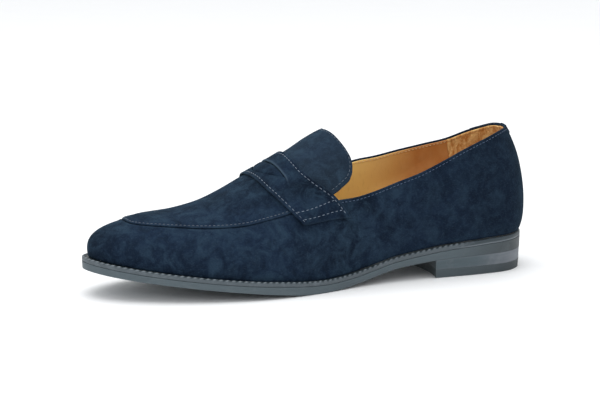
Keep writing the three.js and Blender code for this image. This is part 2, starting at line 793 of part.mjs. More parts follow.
const TONGUE_LINING_TOP = -SUEDE - 0.1;
const LINING_SETBACK = 0.012;
addPart('tongue', tongueSheet(TONGUE_HALF_WIDTH, 0, -APRON_SUEDE, 0), NAVY_SUEDE, 0.95);
addPart('tongue_lining', tongueSheet(
  TONGUE_HALF_WIDTH - LINING_SETBACK,
  TONGUE_LINING_TOP,
  TONGUE_LINING_TOP - LINING,
  0.8,
), TAN_LEATHER, 0.6);

// Where the strap lifts to pass over the apron's raised edge, 0 to 1
function overApronEdge(side) {
  const size = Math.abs(side);
  return smoothstep(size, 0.48, 0.6) * (1 - smoothstep(size, 0.815, 0.89));
}

// The saddle strap: laps the apron and vamp, with an eye-shaped slot cut through its middle
function strapBlank() {
  const face = (distance) => grid(range(36), range(4), (t, across) => {
    const swing = 2 * t - 1;
    const side = swing * lerp(STRAP_BACK.halfWidth, STRAP_FRONT.halfWidth, across);
    const station = lerp(strapEdge(STRAP_BACK, side), strapEdge(STRAP_FRONT, side), across);
    return crownPoint(station, side, GAP + APRON_EDGE_RISE * overApronEdge(side) + distance);
  });
  return solidBetween(face(SUEDE), face(0));
}

function slotCutter() {
  const [tipAcross, tipStation] = SLOT_TIP;
  const eye = new THREE.Shape();
  eye.moveTo(tipAcross, -tipStation);
  eye.quadraticCurveTo(tipAcross * 0.55, -SLOT_BACK, 0, -SLOT_BACK);
  eye.quadraticCurveTo(-tipAcross * 0.55, -SLOT_BACK, -tipAcross, -tipStation);
  eye.quadraticCurveTo(-tipAcross * 0.55, -SLOT_FRONT, 0, -SLOT_FRONT);
  eye.quadraticCurveTo(tipAcross * 0.55, -SLOT_FRONT, tipAcross, -tipStation);
  return new THREE.ExtrudeGeometry(eye, { depth: 120, bevelEnabled: false, curveSegments: 8 });
}

addPart('saddle_strap', cutFrom(strapBlank(), [slotCutter()]), NAVY_SUEDE, 0.95);

// Stand the shoe on the origin, centred under its own length and width
const box = new THREE.Box3().setFromObject(parts);
const centre = box.getCenter(new THREE.Vector3());
parts.position.set(-centre.x, -centre.y, -box.min.z);
const group = new THREE.Group();
group.add(parts);

export default group;
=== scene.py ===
import math

import bmesh
import bpy
import numpy as np
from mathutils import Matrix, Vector

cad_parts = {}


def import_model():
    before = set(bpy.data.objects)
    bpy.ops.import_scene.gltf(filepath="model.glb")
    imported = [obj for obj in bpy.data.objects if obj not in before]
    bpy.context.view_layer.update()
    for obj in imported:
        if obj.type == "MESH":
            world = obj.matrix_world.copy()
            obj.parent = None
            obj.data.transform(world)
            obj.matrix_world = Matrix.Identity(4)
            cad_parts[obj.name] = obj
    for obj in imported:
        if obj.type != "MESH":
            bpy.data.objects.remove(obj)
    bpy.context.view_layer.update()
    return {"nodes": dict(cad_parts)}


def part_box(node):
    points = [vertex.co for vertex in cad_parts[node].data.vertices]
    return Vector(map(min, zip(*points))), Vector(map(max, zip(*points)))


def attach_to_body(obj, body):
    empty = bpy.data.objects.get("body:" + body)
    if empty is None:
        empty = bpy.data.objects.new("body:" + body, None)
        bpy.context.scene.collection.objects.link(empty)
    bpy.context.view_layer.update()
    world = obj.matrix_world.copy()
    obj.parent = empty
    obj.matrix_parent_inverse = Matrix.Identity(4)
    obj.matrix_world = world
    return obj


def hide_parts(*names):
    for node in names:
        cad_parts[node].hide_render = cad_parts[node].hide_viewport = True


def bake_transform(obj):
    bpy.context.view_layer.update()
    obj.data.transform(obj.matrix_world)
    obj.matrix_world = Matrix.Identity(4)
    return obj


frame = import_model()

# ------------------------------------------------------------------ driving dimensions

LENGTH = 300
HEEL_BREAST = 74
BREAST_CURVE = 5
GAP = 0.3
SUEDE = 1.4
LINING = 0.9
LINING_GAP = 0.45
STIFFENER = 1.1
STIFFENER_GAP = 0.5
INSOLE = 2.4
SOCK = 1.2
TOP_PIECE = 5.7
WELT_WIDTH = 9
NAIL_STATION = 14

SOLE_OUTLINE = [
    (0, 0), (17, 4), (29, 17), (33, 38), (33.5, 72), (34.5, 100), (39, 130), (47, 160),
    (51.5, 185), (51, 208), (45.5, 235), (36, 260), (24, 281), (10, 295), (-5, 300), (-19, 295),
    (-31, 281), (-41, 260), (-48, 235), (-50, 208), (-46, 180), (-36, 150), (-28.5, 122),
    (-28, 100), (-31, 72), (-33, 38), (-29, 17), (-17, 4),
]
TREAD = [
    (0, 13.4), (40, 13), (72, 12), (90, 10.3), (105, 8.4), (120, 5), (133, 2.2), (147, 0.5),
    (156, 0.06), (164, 0.06), (173, 0.6), (185, 1.9), (210, 4.9), (240, 8.6), (270, 12.6),
    (290, 15.6), (300, 17.2),
]
OUTSOLE_THICKNESS = [
    (0, 8), (40, 6.6), (72, 5.2), (110, 4.4), (150, 5), (175, 5.4), (210, 4.6), (260, 4.3), (300, 4.7),
]
WELT_THICKNESS = [(0, 3.2), (60, 3), (110, 2.7), (300, 2.7)]
WELT_LEDGE = [(0, 1.2), (35, 1.9), (72, 2.5), (110, 3), (160, 4), (300, 3.8)]
RIDGE_HEIGHT = [
    (0, 117), (40, 113.5), (80, 109), (110, 104.5), (130, 100), (140, 97.2), (150, 92.4), (160, 86),
    (170, 80.3), (180, 74.8), (191, 69), (205, 61.3), (218, 55.8), (231, 52.7), (245, 51),
    (258, 50.3), (272, 49.8), (300, 50),
]
RIDGE_ACROSS = [(0, 0), (100, 0), (150, -1), (200, -2), (250, -4), (300, -5)]
SQUARENESS = [
    (0, 2.28), (60, 2.6), (110, 2.4), (150, 2.1), (180, 1.95), (210, 2.1), (240, 2.5), (270, 2.9),
    (300, 3.2),
]
SIDE_BULGE = [(0, 4.9), (40, 3), (72, 3), (110, 4.5), (150, 3.5), (190, 2.5), (300, 1.5)]
BULGE_HEIGHT = 8
SPINE_BACK = 45
SPINE_FRONT = 215

# Upper edges as a fraction of the way from the ridge (0) out to the sole (1), by station
TOPLINE = [
    (0, 0.708), (12, 0.728), (33, 0.793), (49, 0.837), (66, 0.875), (83, 0.896), (100, 0.9),
    (117, 0.896), (135, 0.875), (146, 0.85), (155, 0.828), (168, 0.8),
]
INNER_TOPLINE = [
    (0, 0.71), (2, 0.718), (8, 0.749), (18, 0.79), (34, 0.841), (53, 0.863), (76, 0.867),
    (92, 0.862), (108, 0.846), (120, 0.838), (133, 0.832), (150, 0.822), (168, 0.8),
]
LINING_FRONT = [
    (182, 0.775), (205, 0.77), (219, 0.76), (232, 0.75), (250, 0.735), (270, 0.735), (285, 0.72),
    (300, 0.685),
]

APRON_HALF_WIDTH = 0.772
APRON_SHOULDER = 200
APRON_TIP = 273
APRON_POWER = 3.4
APRON_TIP_POWER = 2.6
APRON_EDGE_RISE = 0.9
TONGUE_HALF_WIDTH = 0.812
TONGUE_INNER_SHARE = 0.965
TONGUE_END = [
    (0, 139.3), (0.25, 137.3), (0.43, 135.2), (0.57, 132.8), (0.66, 131.3), (0.73, 131.5),
    (0.775, 133.2), (0.8, 136.8), (0.812, 143),
]
STRAP_FRONT = {"centre": 190.6, "sweep": 19.6, "half_width": 0.866}
STRAP_BACK = {"centre": 166, "sweep": 29.3, "half_width": 0.935}
STRAP_SWEEP_POWER = 3.5
SPLIT_COVER = 5
SLOT_TIP_ACROSS = 22.0
SLOT_TIP_STATION = 174.6
SLOT_BACK = 176.3
SLOT_FRONT = 186.5

# Finish details
STITCH_PITCH = 3.1
STITCH_INSET = 2.0
STRAP_STITCH_INSET = 2.3
STRAP_ROW_GAP = 4
THREAD_RADIUS = 0.23
WELT_MARK_COUNT = 172
SEAM_LAP = 4 / 62

# ------------------------------------------------------------------ reading the profiles


def smooth_curve(pairs):
    """A smooth curve through (position, value) pairs, held flat past both ends."""
    x, y = (np.array(column, float) for column in zip(*pairs))
    slope = np.gradient(y, x)

    def read(position):
        p = np.clip(position, x[0], x[-1])
        i = np.clip(np.searchsorted(x, p, side="right") - 1, 0, len(x) - 2)
        width = x[i + 1] - x[i]
        t = (p - x[i]) / width
        start = ((2 * t - 3) * t * t + 1) * y[i] + ((t - 2) * t + 1) * t * width * slope[i]
        end = (3 - 2 * t) * t * t * y[i + 1] + (t - 1) * t * t * width * slope[i + 1]
        return start + end

    return read


tread_at = smooth_curve(TREAD)
outsole_thickness = smooth_curve(OUTSOLE_THICKNESS)
welt_thickness = smooth_curve(WELT_THICKNESS)
welt_ledge = smooth_curve(WELT_LEDGE)
ridge_height = smooth_curve(RIDGE_HEIGHT)
ridge_across = smooth_curve(RIDGE_ACROSS)
squareness = smooth_curve(SQUARENESS)
side_bulge = smooth_curve(SIDE_BULGE)
topline = smooth_curve(TOPLINE), smooth_curve(INNER_TOPLINE)
lining_edge = smooth_curve(TOPLINE + LINING_FRONT), smooth_curve(INNER_TOPLINE + LINING_FRONT)
tongue_end = smooth_curve(TONGUE_END)


def sole_top_at(station):
    return tread_at(station) + outsole_thickness(station)


def welt_top_at(station):
    return sole_top_at(station) + welt_thickness(station)


def insole_top_at(station):
    return welt_top_at(station) + GAP + SUEDE + GAP + INSOLE


def smoothstep(x, low, high):
    t = np.clip((x - low) / (high - low), 0, 1)
    return t * t * (3 - 2 * t)


def lerp(a, b, t):
    return a + (b - a) * t


def hump(x, centre, width):
    """1 at the centre, fading to nothing a few widths away."""
    return np.exp(-(((x - centre) / width) ** 2))


def closed_spline(points, steps=160):
    """A centripetal Catmull-Rom loop through the points, as a dense line that ends where it starts."""
    corners = np.array(points, float)
    count = len(corners)
    t = np.linspace(0, 1, steps, endpoint=False)[:, None]
    loop = []
    for i in range(count):
        a, b, c, d = (corners[(i + k) % count] for k in (-1, 0, 1, 2))
        ab, bc, cd = (np.linalg.norm(side) ** 0.5 for side in (b - a, c - b, d - c))
        leave = ((b - a) / ab - (c - a) / (ab + bc) + (c - b) / bc) * bc
        arrive = ((c - b) / bc - (d - b) / (bc + cd) + (d - c) / cd) * bc
        start = (2 * t**3 - 3 * t**2 + 1) * b + (t**3 - 2 * t**2 + t) * leave
        loop.append(start + (3 * t**2 - 2 * t**3) * c + (t**3 - t**2) * arrive)
    loop.append(corners[:1])
    return np.concatenate(loop)


def lengths_along(points, axis=0):
    """Distance travelled along a line of points, from 0 at its start."""
    steps = np.linalg.norm(np.diff(points, axis=axis), axis=-1)
    start = np.zeros_like(np.take(steps, [0], axis=axis))
    return np.concatenate([start, np.cumsum(steps, axis=axis)], axis=axis)


EDGE_LOOP = closed_spline(SOLE_OUTLINE)
PERIMETER = lengths_along(EDGE_LOOP)[-1]
EDGE_TURN = lengths_along(EDGE_LOOP) / PERIMETER
EDGE_TANGENT = np.gradient(EDGE_LOOP, axis=0)
EDGE_TANGENT[0] = EDGE_TANGENT[-1] = EDGE_TANGENT[0] + EDGE_TANGENT[-1]
EDGE_TANGENT /= np.linalg.norm(EDGE_TANGENT, axis=1, keepdims=True)
TOE_TURN = EDGE_TURN[np.argmax(EDGE_LOOP[:, 1])]


def sole_edge(turn, inset):
    """The plan outline moved in by a distance, as (across, station)."""
    turn = np.mod(turn, 1)
    across, station, along_x, along_y = (
        np.interp(turn, EDGE_TURN, column)
        for column in (EDGE_LOOP[:, 0], EDGE_LOOP[:, 1], EDGE_TANGENT[:, 0], EDGE_TANGENT[:, 1])
    )
    return across - along_y * inset, station + along_x * inset


def feather(turn):
    """Where the upper meets the welt."""
    return sole_edge(turn, welt_ledge(sole_edge(turn, 0)[1]))


def skin(turn, angle):
    """The outer surface of the upper. Angle runs from 0 at the sole to a right angle on the ridge."""
    foot_across, foot_station = feather(turn)
    spine_station = lerp(SPINE_BACK, SPINE_FRONT, np.clip(foot_station / LENGTH, 0, 1))
    spine_across = ridge_across(spine_station)
    power = 2 / squareness(foot_station)
    out = np.maximum(np.cos(angle), 0) ** power
    up = np.maximum(np.sin(angle), 0) ** power
    dx = foot_across - spine_across
    ds = foot_station - spine_station
    reach = np.hypot(dx, ds)
    middle = spine_station + out * ds
    rise = (ridge_height(middle) - welt_top_at(middle)) * up
    radius = (reach + side_bulge(foot_station) * (1 - np.exp(-rise / BULGE_HEIGHT))) * out / reach
    station = spine_station + ds * radius
    base = welt_top_at(station)
    height = base + (ridge_height(station) - base) * up
    return np.stack([spine_across + dx * radius, station, height], -1)


STEP = 1e-3


def unit(vectors):
    return vectors / np.linalg.norm(vectors, axis=-1, keepdims=True)


def side_surface(turn, angle):
    """Points and outward directions on the upper, by turn and angle."""
    turn, angle = np.broadcast_arrays(turn, angle)
    around = skin(turn + STEP, angle) - skin(turn - STEP, angle)
    upward = skin(turn, angle + STEP) - skin(turn, np.maximum(angle - STEP, 0))
    return skin(turn, angle), unit(np.cross(around, upward))


def angle_at_fraction(turn, fraction):
    return np.arccos(np.clip(fraction, 0, 1) ** (squareness(feather(turn)[1]) / 2))


def fraction_at_angle(turn, angle):
    return np.maximum(np.cos(angle), 0) ** (2 / squareness(feather(turn)[1]))


def angle_at_height(turn, height):
    station = feather(turn)[1]
    share = height / (ridge_height(station) - welt_top_at(station))
    return np.arcsin(share ** (squareness(station) / 2))


def edge_fraction(edge, turn):
    """An upper edge, given by its outer and inner curves."""
    outer, inner = edge
    station = feather(turn)[1]
    return np.where(np.mod(turn, 1) > TOE_TURN, inner(station), outer(station))


def bisect(holds, low, high, steps=30):
    """Where a test that holds from low on stops holding, for whole arrays at once."""
    for _ in range(steps):
        middle = (low + high) / 2
        before = holds(middle)
        low = np.where(before, middle, low)
        high = np.where(before, high, middle)
    return (low + high) / 2


TOE_RAY = np.linspace(0, 1, 600)
TOE_RAY_STATION = skin(TOE_TURN, angle_at_fraction(TOE_TURN, TOE_RAY))[:, 1]


def least_fraction(station):
    """The fraction at which the middle line of the toe reaches a station."""
    return np.interp(station, TOE_RAY_STATION, TOE_RAY)


def crown(station, side):
    """The same surface by station and side, -1 at the inner edge to 1 at the outer edge."""
    station, side = np.broadcast_arrays(np.asarray(station, float), np.asarray(side, float))
    least = least_fraction(station)
    fraction = np.minimum(np.sqrt(least**2 + (1 - least**2) * side**2), 1)
    outer = side >= 0

    def turn_of(way):
        return np.where(outer, way, 1 - way)

    def before(way):
        turn = turn_of(way)
        return skin(turn, angle_at_fraction(turn, fraction))[..., 1] < station

    high = np.where(outer, TOE_TURN, 1 - TOE_TURN)
    turn = turn_of(bisect(before, np.zeros_like(station), high))
    return skin(turn, angle_at_fraction(turn, fraction))


STATION_STEP = 0.2


def crown_surface(station, side):
    """Points and outward directions on the upper, by station and side."""
    along = crown(station + STATION_STEP, side) - crown(station - STATION_STEP, side)
    sideways = crown(station, side + STEP) - crown(station, side - STEP)
    return crown(station, side), unit(np.cross(sideways, along))


def turn_at(station, outer, edge=feather):
    """The turn at which an edge, such as the upper's foot, reaches a station."""
    if outer:
        return float(bisect(lambda turn: edge(turn)[1] < station, 0.0, TOE_TURN))
    return 1 - float(bisect(lambda back: edge(1 - back)[1] < station, 0.0, 1 - TOE_TURN))


def apron_inside(station, side):
    """How far a point is inside the apron's outline, 0 on its edge."""
    ahead = np.maximum(0, (station - APRON_SHOULDER) / (APRON_TIP - APRON_SHOULDER))
    return 1 - ahead**APRON_TIP_POWER - np.abs(side / APRON_HALF_WIDTH) ** APRON_POWER


def strap_edge(edge, side):
    return edge["centre"] - edge["sweep"] * (np.abs(side) / edge["half_width"]) ** STRAP_SWEEP_POWER


def split_station(side):
    """Where the apron and the tongue meet under the strap."""
    return strap_edge(STRAP_BACK, side) + SPLIT_COVER


def ripple(points):
    """Slow hand-made unevenness of the leather, the same for every layer at one place."""
    x, s, z = points[..., 0], points[..., 1], points[..., 2]
    waves = np.sin(x / 11 + s / 17) * np.sin(z / 9 - s / 23)
    waves += 0.6 * np.sin(s / 7.3 + z / 6.1 + 1.7) * np.sin(x / 8.3 - z / 12 + 0.4)
    return 0.09 * waves


def rounded(distance, half):
    """Height of a half-round edge of the given half thickness, by distance in from the edge."""
    return half * np.sqrt(1 - (1 - np.clip(distance / half, 0, 1)) ** 2)


# ------------------------------------------------------------------ from millimetres to the frame

MM = 0.001
nail_low, nail_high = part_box("heel_nail_1")
ORIGIN_X = (nail_low.x + nail_high.x) / 2
ORIGIN_Y = (nail_low.y + nail_high.y) / 2 + NAIL_STATION * MM


def place(points):
    """Points given as (across, station, height) in millimetres, in metres in the frame."""
    p = np.asarray(points, float)
    return np.stack([ORIGIN_X + p[..., 0] * MM, ORIGIN_Y - p[..., 1] * MM, p[..., 2] * MM], -1)


WELD = 1e-6
SHARP_ANGLE = math.radians(42)


def add_object(name, data):
    item = bpy.data.objects.new(name, data)
    bpy.context.scene.collection.objects.link(item)
    return item


def make_piece(name, points, faces, material, wear_and_painted_light=None):
    """A closed mesh object from points in millimetres, its coincident points joined."""
    mesh = bpy.data.meshes.new(name)
    mesh.from_pydata(place(points).tolist(), [], [list(map(int, face)) for face in faces])
    # This attribute holds real wear on rubbed edges and painted light: painted highlights on the welt and
    # the slot's lip, and the tongue painted paler.
    if wear_and_painted_light is not None:
        layer = mesh.attributes.new("wear_and_painted_light", "FLOAT", "POINT")
        layer.data.foreach_set("value", np.asarray(wear_and_painted_light, np.float32).ravel())
    shape = bmesh.new()
    shape.from_mesh(mesh)
    bmesh.ops.remove_doubles(shape, verts=shape.verts, dist=WELD)
    bmesh.ops.dissolve_degenerate(shape, edges=shape.edges, dist=WELD)
    bmesh.ops.recalc_face_normals(shape, faces=shape.faces)
    shape.to_mesh(mesh)
    shape.free()
    mesh.shade_smooth()
    mesh.set_sharp_from_angle(angle=SHARP_ANGLE)
    mesh.materials.append(material)
    return add_object(name, mesh)


def grid_faces(rows, columns, start=0, wrap_rows=False, wrap_columns=False):
    """Quads over a grid of points numbered row by row from start."""
    i, j = np.meshgrid(
        np.arange(rows if wrap_rows else rows - 1),
        np.arange(columns if wrap_columns else columns - 1),
        indexing="ij",
    )
    below, beside = (i + 1) % rows, (j + 1) % columns
    corners = [i * columns + j, below * columns + j, below * columns + beside, i * columns + beside]
    return start + np.stack([c.ravel() for c in corners], -1)


def rim_faces(outer_ids, inner_ids):
    """Quads that join two lines of points."""
    return np.stack([outer_ids[:-1], outer_ids[1:], inner_ids[1:], inner_ids[:-1]], -1)


def sheet_piece(name, points, outward, lifts, material, wrap=False, rims="tblr", wear_and_painted_light=None):
    """A thick sheet that stands off a surface, between an outer and an inner lift.

    Rims closes its top, bottom, left and right sides.
    """
    rows, columns = points.shape[:2]
    count = rows * columns
    ids = np.arange(count).reshape(rows, columns)
    sides = {"t": ids[0], "b": ids[-1], "l": ids[:, 0], "r": ids[:, -1]}
    if wrap:
        sides = {key: np.append(sides[key], sides[key][0]) for key in "tb"}
    faces = [
        grid_faces(rows, columns, wrap_columns=wrap),
        grid_faces(rows, columns, start=count, wrap_columns=wrap),
    ]
    faces += [rim_faces(sides[key], sides[key] + count) for key in rims if key in sides]
    grids = [(points + outward * lift[..., None]).reshape(-1, 3) for lift in lifts]
    doubled = None if wear_and_painted_light is None else np.concatenate([wear_and_painted_light.ravel()] * 2)
    return make_piece(name, np.concatenate(grids), np.concatenate(faces), material, doubled)


def ring_piece(name, rings, material, shades=None, closed=False):
    """A piece from rings of points, with the wear and painted light of each ring."""
    count = len(rings[0])
    wear_and_painted_light = None if shades is None else np.concatenate([np.broadcast_to(s, count) for s in shades])
    faces = grid_faces(len(rings), count, wrap_rows=closed, wrap_columns=True)
    return make_piece(name, np.concatenate(rings), faces, material, wear_and_painted_light)


def crowd(width, fine, count, both=False):
    """Shares from 0 to 1 of a width, crowded near its start, or near both ends, at fine distances."""
    near = np.array(fine) / width
    if both:
        middle = np.linspace(near[-1], 1 - near[-1], count)[1:-1]
        return np.concatenate([near, middle, 1 - near[::-1]])
    return np.concatenate([near, np.linspace(near[-1], 1, count)[1:]])


EDGE_STEPS = (0, 0.05, 0.14, 0.28, 0.45, 0.65, 0.9, 1.25, 1.6, 1.9, 2.2, 2.6, 3.2)


# ------------------------------------------------------------------ materials


class Shader:
    """A node material put together one node at a time."""

    def __init__(self, name):
        self.material = bpy.data.materials.new(name)
        self.material.use_nodes = True
        self.tree = self.material.node_tree
        self.tree.nodes.clear()
        self.place = self.node("ShaderNodeTexCoord").outputs["Object"]

    def node(self, kind, values=None, **settings):
        made = self.tree.nodes.new(kind)
        for key, value in settings.items():
            setattr(made, key, value)
        for key, value in (values or {}).items():
            if isinstance(value, bpy.types.NodeSocket):
                self.tree.links.new(value, made.inputs[key])
            else:
                made.inputs[key].default_value = value
        return made

    def stretched(self, scale, turn=(0, 0, 0)):
        values = {"Vector": self.place, "Scale": scale, "Rotation": turn}
        return self.node("ShaderNodeMapping", values).outputs["Vector"]

    def noise(self, size, detail=3.0, roughness=0.55, distortion=0.0, vector=None):
        """Soft cloudy noise with features of about the given size in millimetres."""
        values = {
            "Vector": vector or self.place,
            "Scale": 1 / (size * MM),
            "Detail": detail,
            "Roughness": roughness,
            "Distortion": distortion,
        }
        return self.node("ShaderNodeTexNoise", values).outputs["Fac"]

    def cells(self, size, feature="F1", vector=None):
        values = {"Vector": vector or self.place, "Scale": 1 / (size * MM)}
        return self.node("ShaderNodeTexVoronoi", values, feature=feature).outputs["Distance"]

    def ramp(self, fac, low, high, start=0.0, end=1.0):
        """fac spread from low..high to start..end, held at both ends."""
        values = {0: fac, 1: low, 2: high, 3: start, 4: end}
        return self.node("ShaderNodeMapRange", values, clamp=True).outputs[0]

    def mix(self, fac, a, b):
        first, second = ((*colour, 1) if isinstance(colour, tuple) else colour for colour in (a, b))
        return self.node("ShaderNodeMix", {0: fac, 6: first, 7: second}, data_type="RGBA").outputs[2]

    def sum(self, a, b, weight=1.0):
        """a plus weight times b."""
        return self.node("ShaderNodeMath", {0: b, 1: weight, 2: a}, operation="MULTIPLY_ADD").outputs[0]

    def times(self, a, b):
        return self.node("ShaderNodeMath", {0: a, 1: b}, operation="MULTIPLY").outputs[0]

    def attribute(self, name):
        return self.node("ShaderNodeAttribute", attribute_name=name).outputs["Fac"]

    def along(self, first, last, start=0.0, end=1.0):
        """start at the first station to end at the last, held at both ends."""
        y = self.node("ShaderNodeSeparateXYZ", {0: self.place}).outputs["Y"]
        return self.ramp(y, place((0, first, 0))[1], place((0, last, 0))[1], start, end)

    def finish(self, height, distance, **values):
        """The surface itself, with a height field in bumps of the given depth in millimetres."""
        bump = self.node("ShaderNodeBump", {"Height": height, "Distance": distance * MM, "Strength": 1.0})
        named = {key.replace("_", " "): value for key, value in values.items()}
        named = {key: (*v, 1) if isinstance(v, tuple) else v for key, v in named.items()}
        named["Normal"] = bump.outputs[0]
        surface = self.node("ShaderNodeBsdfPrincipled", named)
        self.node("ShaderNodeOutputMaterial", {"Surface": surface.outputs[0]})
        return self.material


def suede_material():
    """Navy suede: brushed patches, mottled nap, fine fibres and a soft bloom at glancing angles, painted
    paler where a piece marks wear or painted light.
    """
    s = Shader("navy_suede")
    brushed = s.stretched((1.0, 0.5, 0.75), (0.3, 0.2, 0.5))
    patches = s.noise(34, detail=3, roughness=0.6, distortion=1.0, vector=brushed)
    blotches = s.noise(11, detail=4, roughness=0.62, distortion=0.8)
    mottle = s.noise(3.6, detail=4, roughness=0.65, distortion=0.5)
    fibres = s.noise(0.7, detail=3, roughness=0.7, vector=s.stretched((1, 0.5, 1), (0.2, 0.5, 0.3)))
    dark = (0.0036, 0.0076, 0.0156)
    navy = (0.0088, 0.0182, 0.0372)
    slate = (0.0192, 0.0378, 0.0620)
    pale_nap_and_highlight = (0.0420, 0.0660, 0.0950)
    heelward = s.along(130, 40, 0, 0.5)
    colour = s.mix(s.ramp(patches, 0.34, 0.66), dark, navy)
    colour = s.mix(s.ramp(blotches, 0.46, 0.68, 0, 0.75), colour, slate)
    colour = s.mix(heelward, colour, dark)
    colour = s.mix(s.ramp(blotches, 0.46, 0.30, 0, 0.65), colour, dark)
    colour = s.mix(s.ramp(mottle, 0.50, 0.74, 0, 0.35), colour, slate)
    colour = s.mix(s.ramp(mottle, 0.48, 0.30, 0, 0.4), colour, dark)
    colour = s.mix(s.ramp(fibres, 0.52, 0.80, 0, 0.35), colour, pale_nap_and_highlight)
    # Paler where pieces mark it: real wear on rubbed edges, plus painted light (a painted highlight on the
    # slot's lip, and the tongue painted paler all over).
    colour = s.mix(s.times(s.attribute("wear_and_painted_light"), 0.30), colour, pale_nap_and_highlight)
    height = s.sum(s.times(fibres, 0.8), mottle, 0.8)
    return s.finish(
        height, 0.35,
        Base_Color=colour, Roughness=0.95, Specular_IOR_Level=0.05,
        Sheen_Weight=0.05, Sheen_Roughness=0.4, Sheen_Tint=(0.20, 0.50, 0.66),
    )


def lining_material():
    """Smooth tan lining leather with fine pores, darker towards the heel."""
    s = Shader("tan_lining")
    back = s.along(114, 60)
    clouds = s.noise(14, detail=3)
    pores = s.cells(0.55)
    creases = s.noise(2.4, detail=4, roughness=0.6, vector=s.stretched((1, 1, 0.35)))
    honey = (0.800, 0.555, 0.180)
    amber = (0.400, 0.155, 0.038)
    colour = s.mix(back, honey, amber)
    colour = s.mix(s.ramp(clouds, 0.40, 0.75, 0, 0.3), colour, (0.600, 0.350, 0.130))
    colour = s.mix(s.ramp(creases, 0.55, 0.75, 0, 0.3), colour, (0.400, 0.190, 0.060))
    height = s.sum(s.times(creases, 0.6), s.ramp(pores, 0.0, 0.5), 0.35)
    return s.finish(
        height, 0.14,
        Base_Color=colour, Roughness=s.ramp(clouds, 0.3, 0.7, 0.42, 0.58), Specular_IOR_Level=0.4,
    )


def grip_material():
    """Rough, brushed leather of the heel grip, worn in pale streaks."""
    s = Shader("rough_leather")
    streaks = s.noise(5, detail=5, roughness=0.7, distortion=1.2, vector=s.stretched((1, 1, 0.5)))
    nap = s.noise(0.9, detail=4, roughness=0.75)
    colour = s.mix(s.ramp(streaks, 0.40, 0.68), (0.450, 0.175, 0.038), (0.880, 0.600, 0.250))
    colour = s.mix(s.ramp(nap, 0.35, 0.70, 0, 0.45), colour, (0.280, 0.120, 0.030))
    return s.finish(
        s.sum(s.times(nap, 0.9), streaks, 0.7), 0.5,
        Base_Color=colour, Roughness=0.92, Specular_IOR_Level=0.2,
        Sheen_Weight=0.25, Sheen_Roughness=0.5, Sheen_Tint=(0.9, 0.7, 0.4),
    )


def rubber_material(name, colour, scuff_and_highlight, gloss, common=None, fade_end=62):
    """Rubber with streaks, dust and scuffs, and painted highlights where a piece marks them. It fades to the
    common colour by the fade's end station.
    """
    s = Shader(name)
    streaks = s.noise(2.2, detail=4, roughness=0.6, vector=s.stretched((0.25, 0.12, 1.6)))
    dust = s.noise(9, detail=5, roughness=0.65)
    grain = s.noise(0.5, detail=2)
    away = s.along(16, fade_end)
    own = s.mix(away, colour, common or colour)
    shade = s.mix(s.ramp(streaks, 0.35, 0.70, 0, 0.35), own, (0.036, 0.049, 0.058))
    shade = s.mix(s.ramp(dust, 0.52, 0.80, 0, 0.5), shade, scuff_and_highlight)
    # Paler where pieces mark it: scuffed edges, and on the welt painted highlights on the mark tops and a
    # painted highlight line round the heel.
    shade = s.mix(s.times(s.attribute("wear_and_painted_light"), 0.8), shade, scuff_and_highlight)
    return s.finish(
        s.sum(s.times(grain, 0.5), streaks, 0.6), 0.12,
        Base_Color=shade, Roughness=s.ramp(dust, 0.3, 0.75, gloss, gloss + 0.22), Specular_IOR_Level=0.45,
    )


def thread_material(name, colour, shadow):
    """Twisted sewing thread."""
    s = Shader(name)
    strands = s.noise(0.35, detail=2, vector=s.stretched((1, 1, 1), (0.6, 0.4, 0.7)))
    colour = s.mix(s.ramp(strands, 0.35, 0.65), shadow, colour)
    return s.finish(strands, 0.1, Base_Color=colour, Roughness=0.7, Sheen_Weight=0.2)


def fibrous_material(name, colour, fleck, size, depth):
    """Board, cork and foam: clumps of one colour flecked with another."""
    s = Shader(name)
    clumps = s.cells(size)
    fine = s.noise(size * 0.4, detail=4, roughness=0.7)
    shade = s.mix(s.ramp(clumps, 0.1, 0.75), colour, fleck)
    shade = s.mix(s.ramp(fine, 0.5, 0.8, 0, 0.5), shade, tuple(c * 0.5 for c in colour))
    return s.finish(s.sum(clumps, fine, 0.6), depth, Base_Color=shade, Roughness=0.9)


def steel_material():
    """Rolled spring steel with fine drawn lines."""
    s = Shader("shank_steel")
    lines = s.noise(0.4, detail=3, vector=s.stretched((1, 0.06, 1)))
    bloom = s.noise(7, detail=3)
    colour = s.mix(s.ramp(bloom, 0.45, 0.75), (0.52, 0.54, 0.56), (0.30, 0.27, 0.25))
    return s.finish(
        lines, 0.05, Base_Color=colour, Metallic=1.0, Roughness=s.ramp(lines, 0.3, 0.7, 0.28, 0.48),
    )


SUEDE_LOOK = suede_material()
LINING_LOOK = lining_material()
GRIP_LOOK = grip_material()

SOLE_GREY = (0.054, 0.078, 0.092)
TOP_PIECE_GREY = (0.044, 0.062, 0.072)
SOLE_LOOK = rubber_material("sole_rubber", (0.016, 0.023, 0.027), (0.110, 0.132, 0.144), 0.45, SOLE_GREY)
HEEL_LOOK = rubber_material("heel_layers", (0.135, 0.150, 0.172), (0.165, 0.180, 0.200), 0.48, SOLE_GREY, 44)
TOP_PIECE_LOOK = rubber_material(
    "heel_rubber", (0.024, 0.033, 0.038), (0.070, 0.085, 0.093), 0.55, TOP_PIECE_GREY,
)
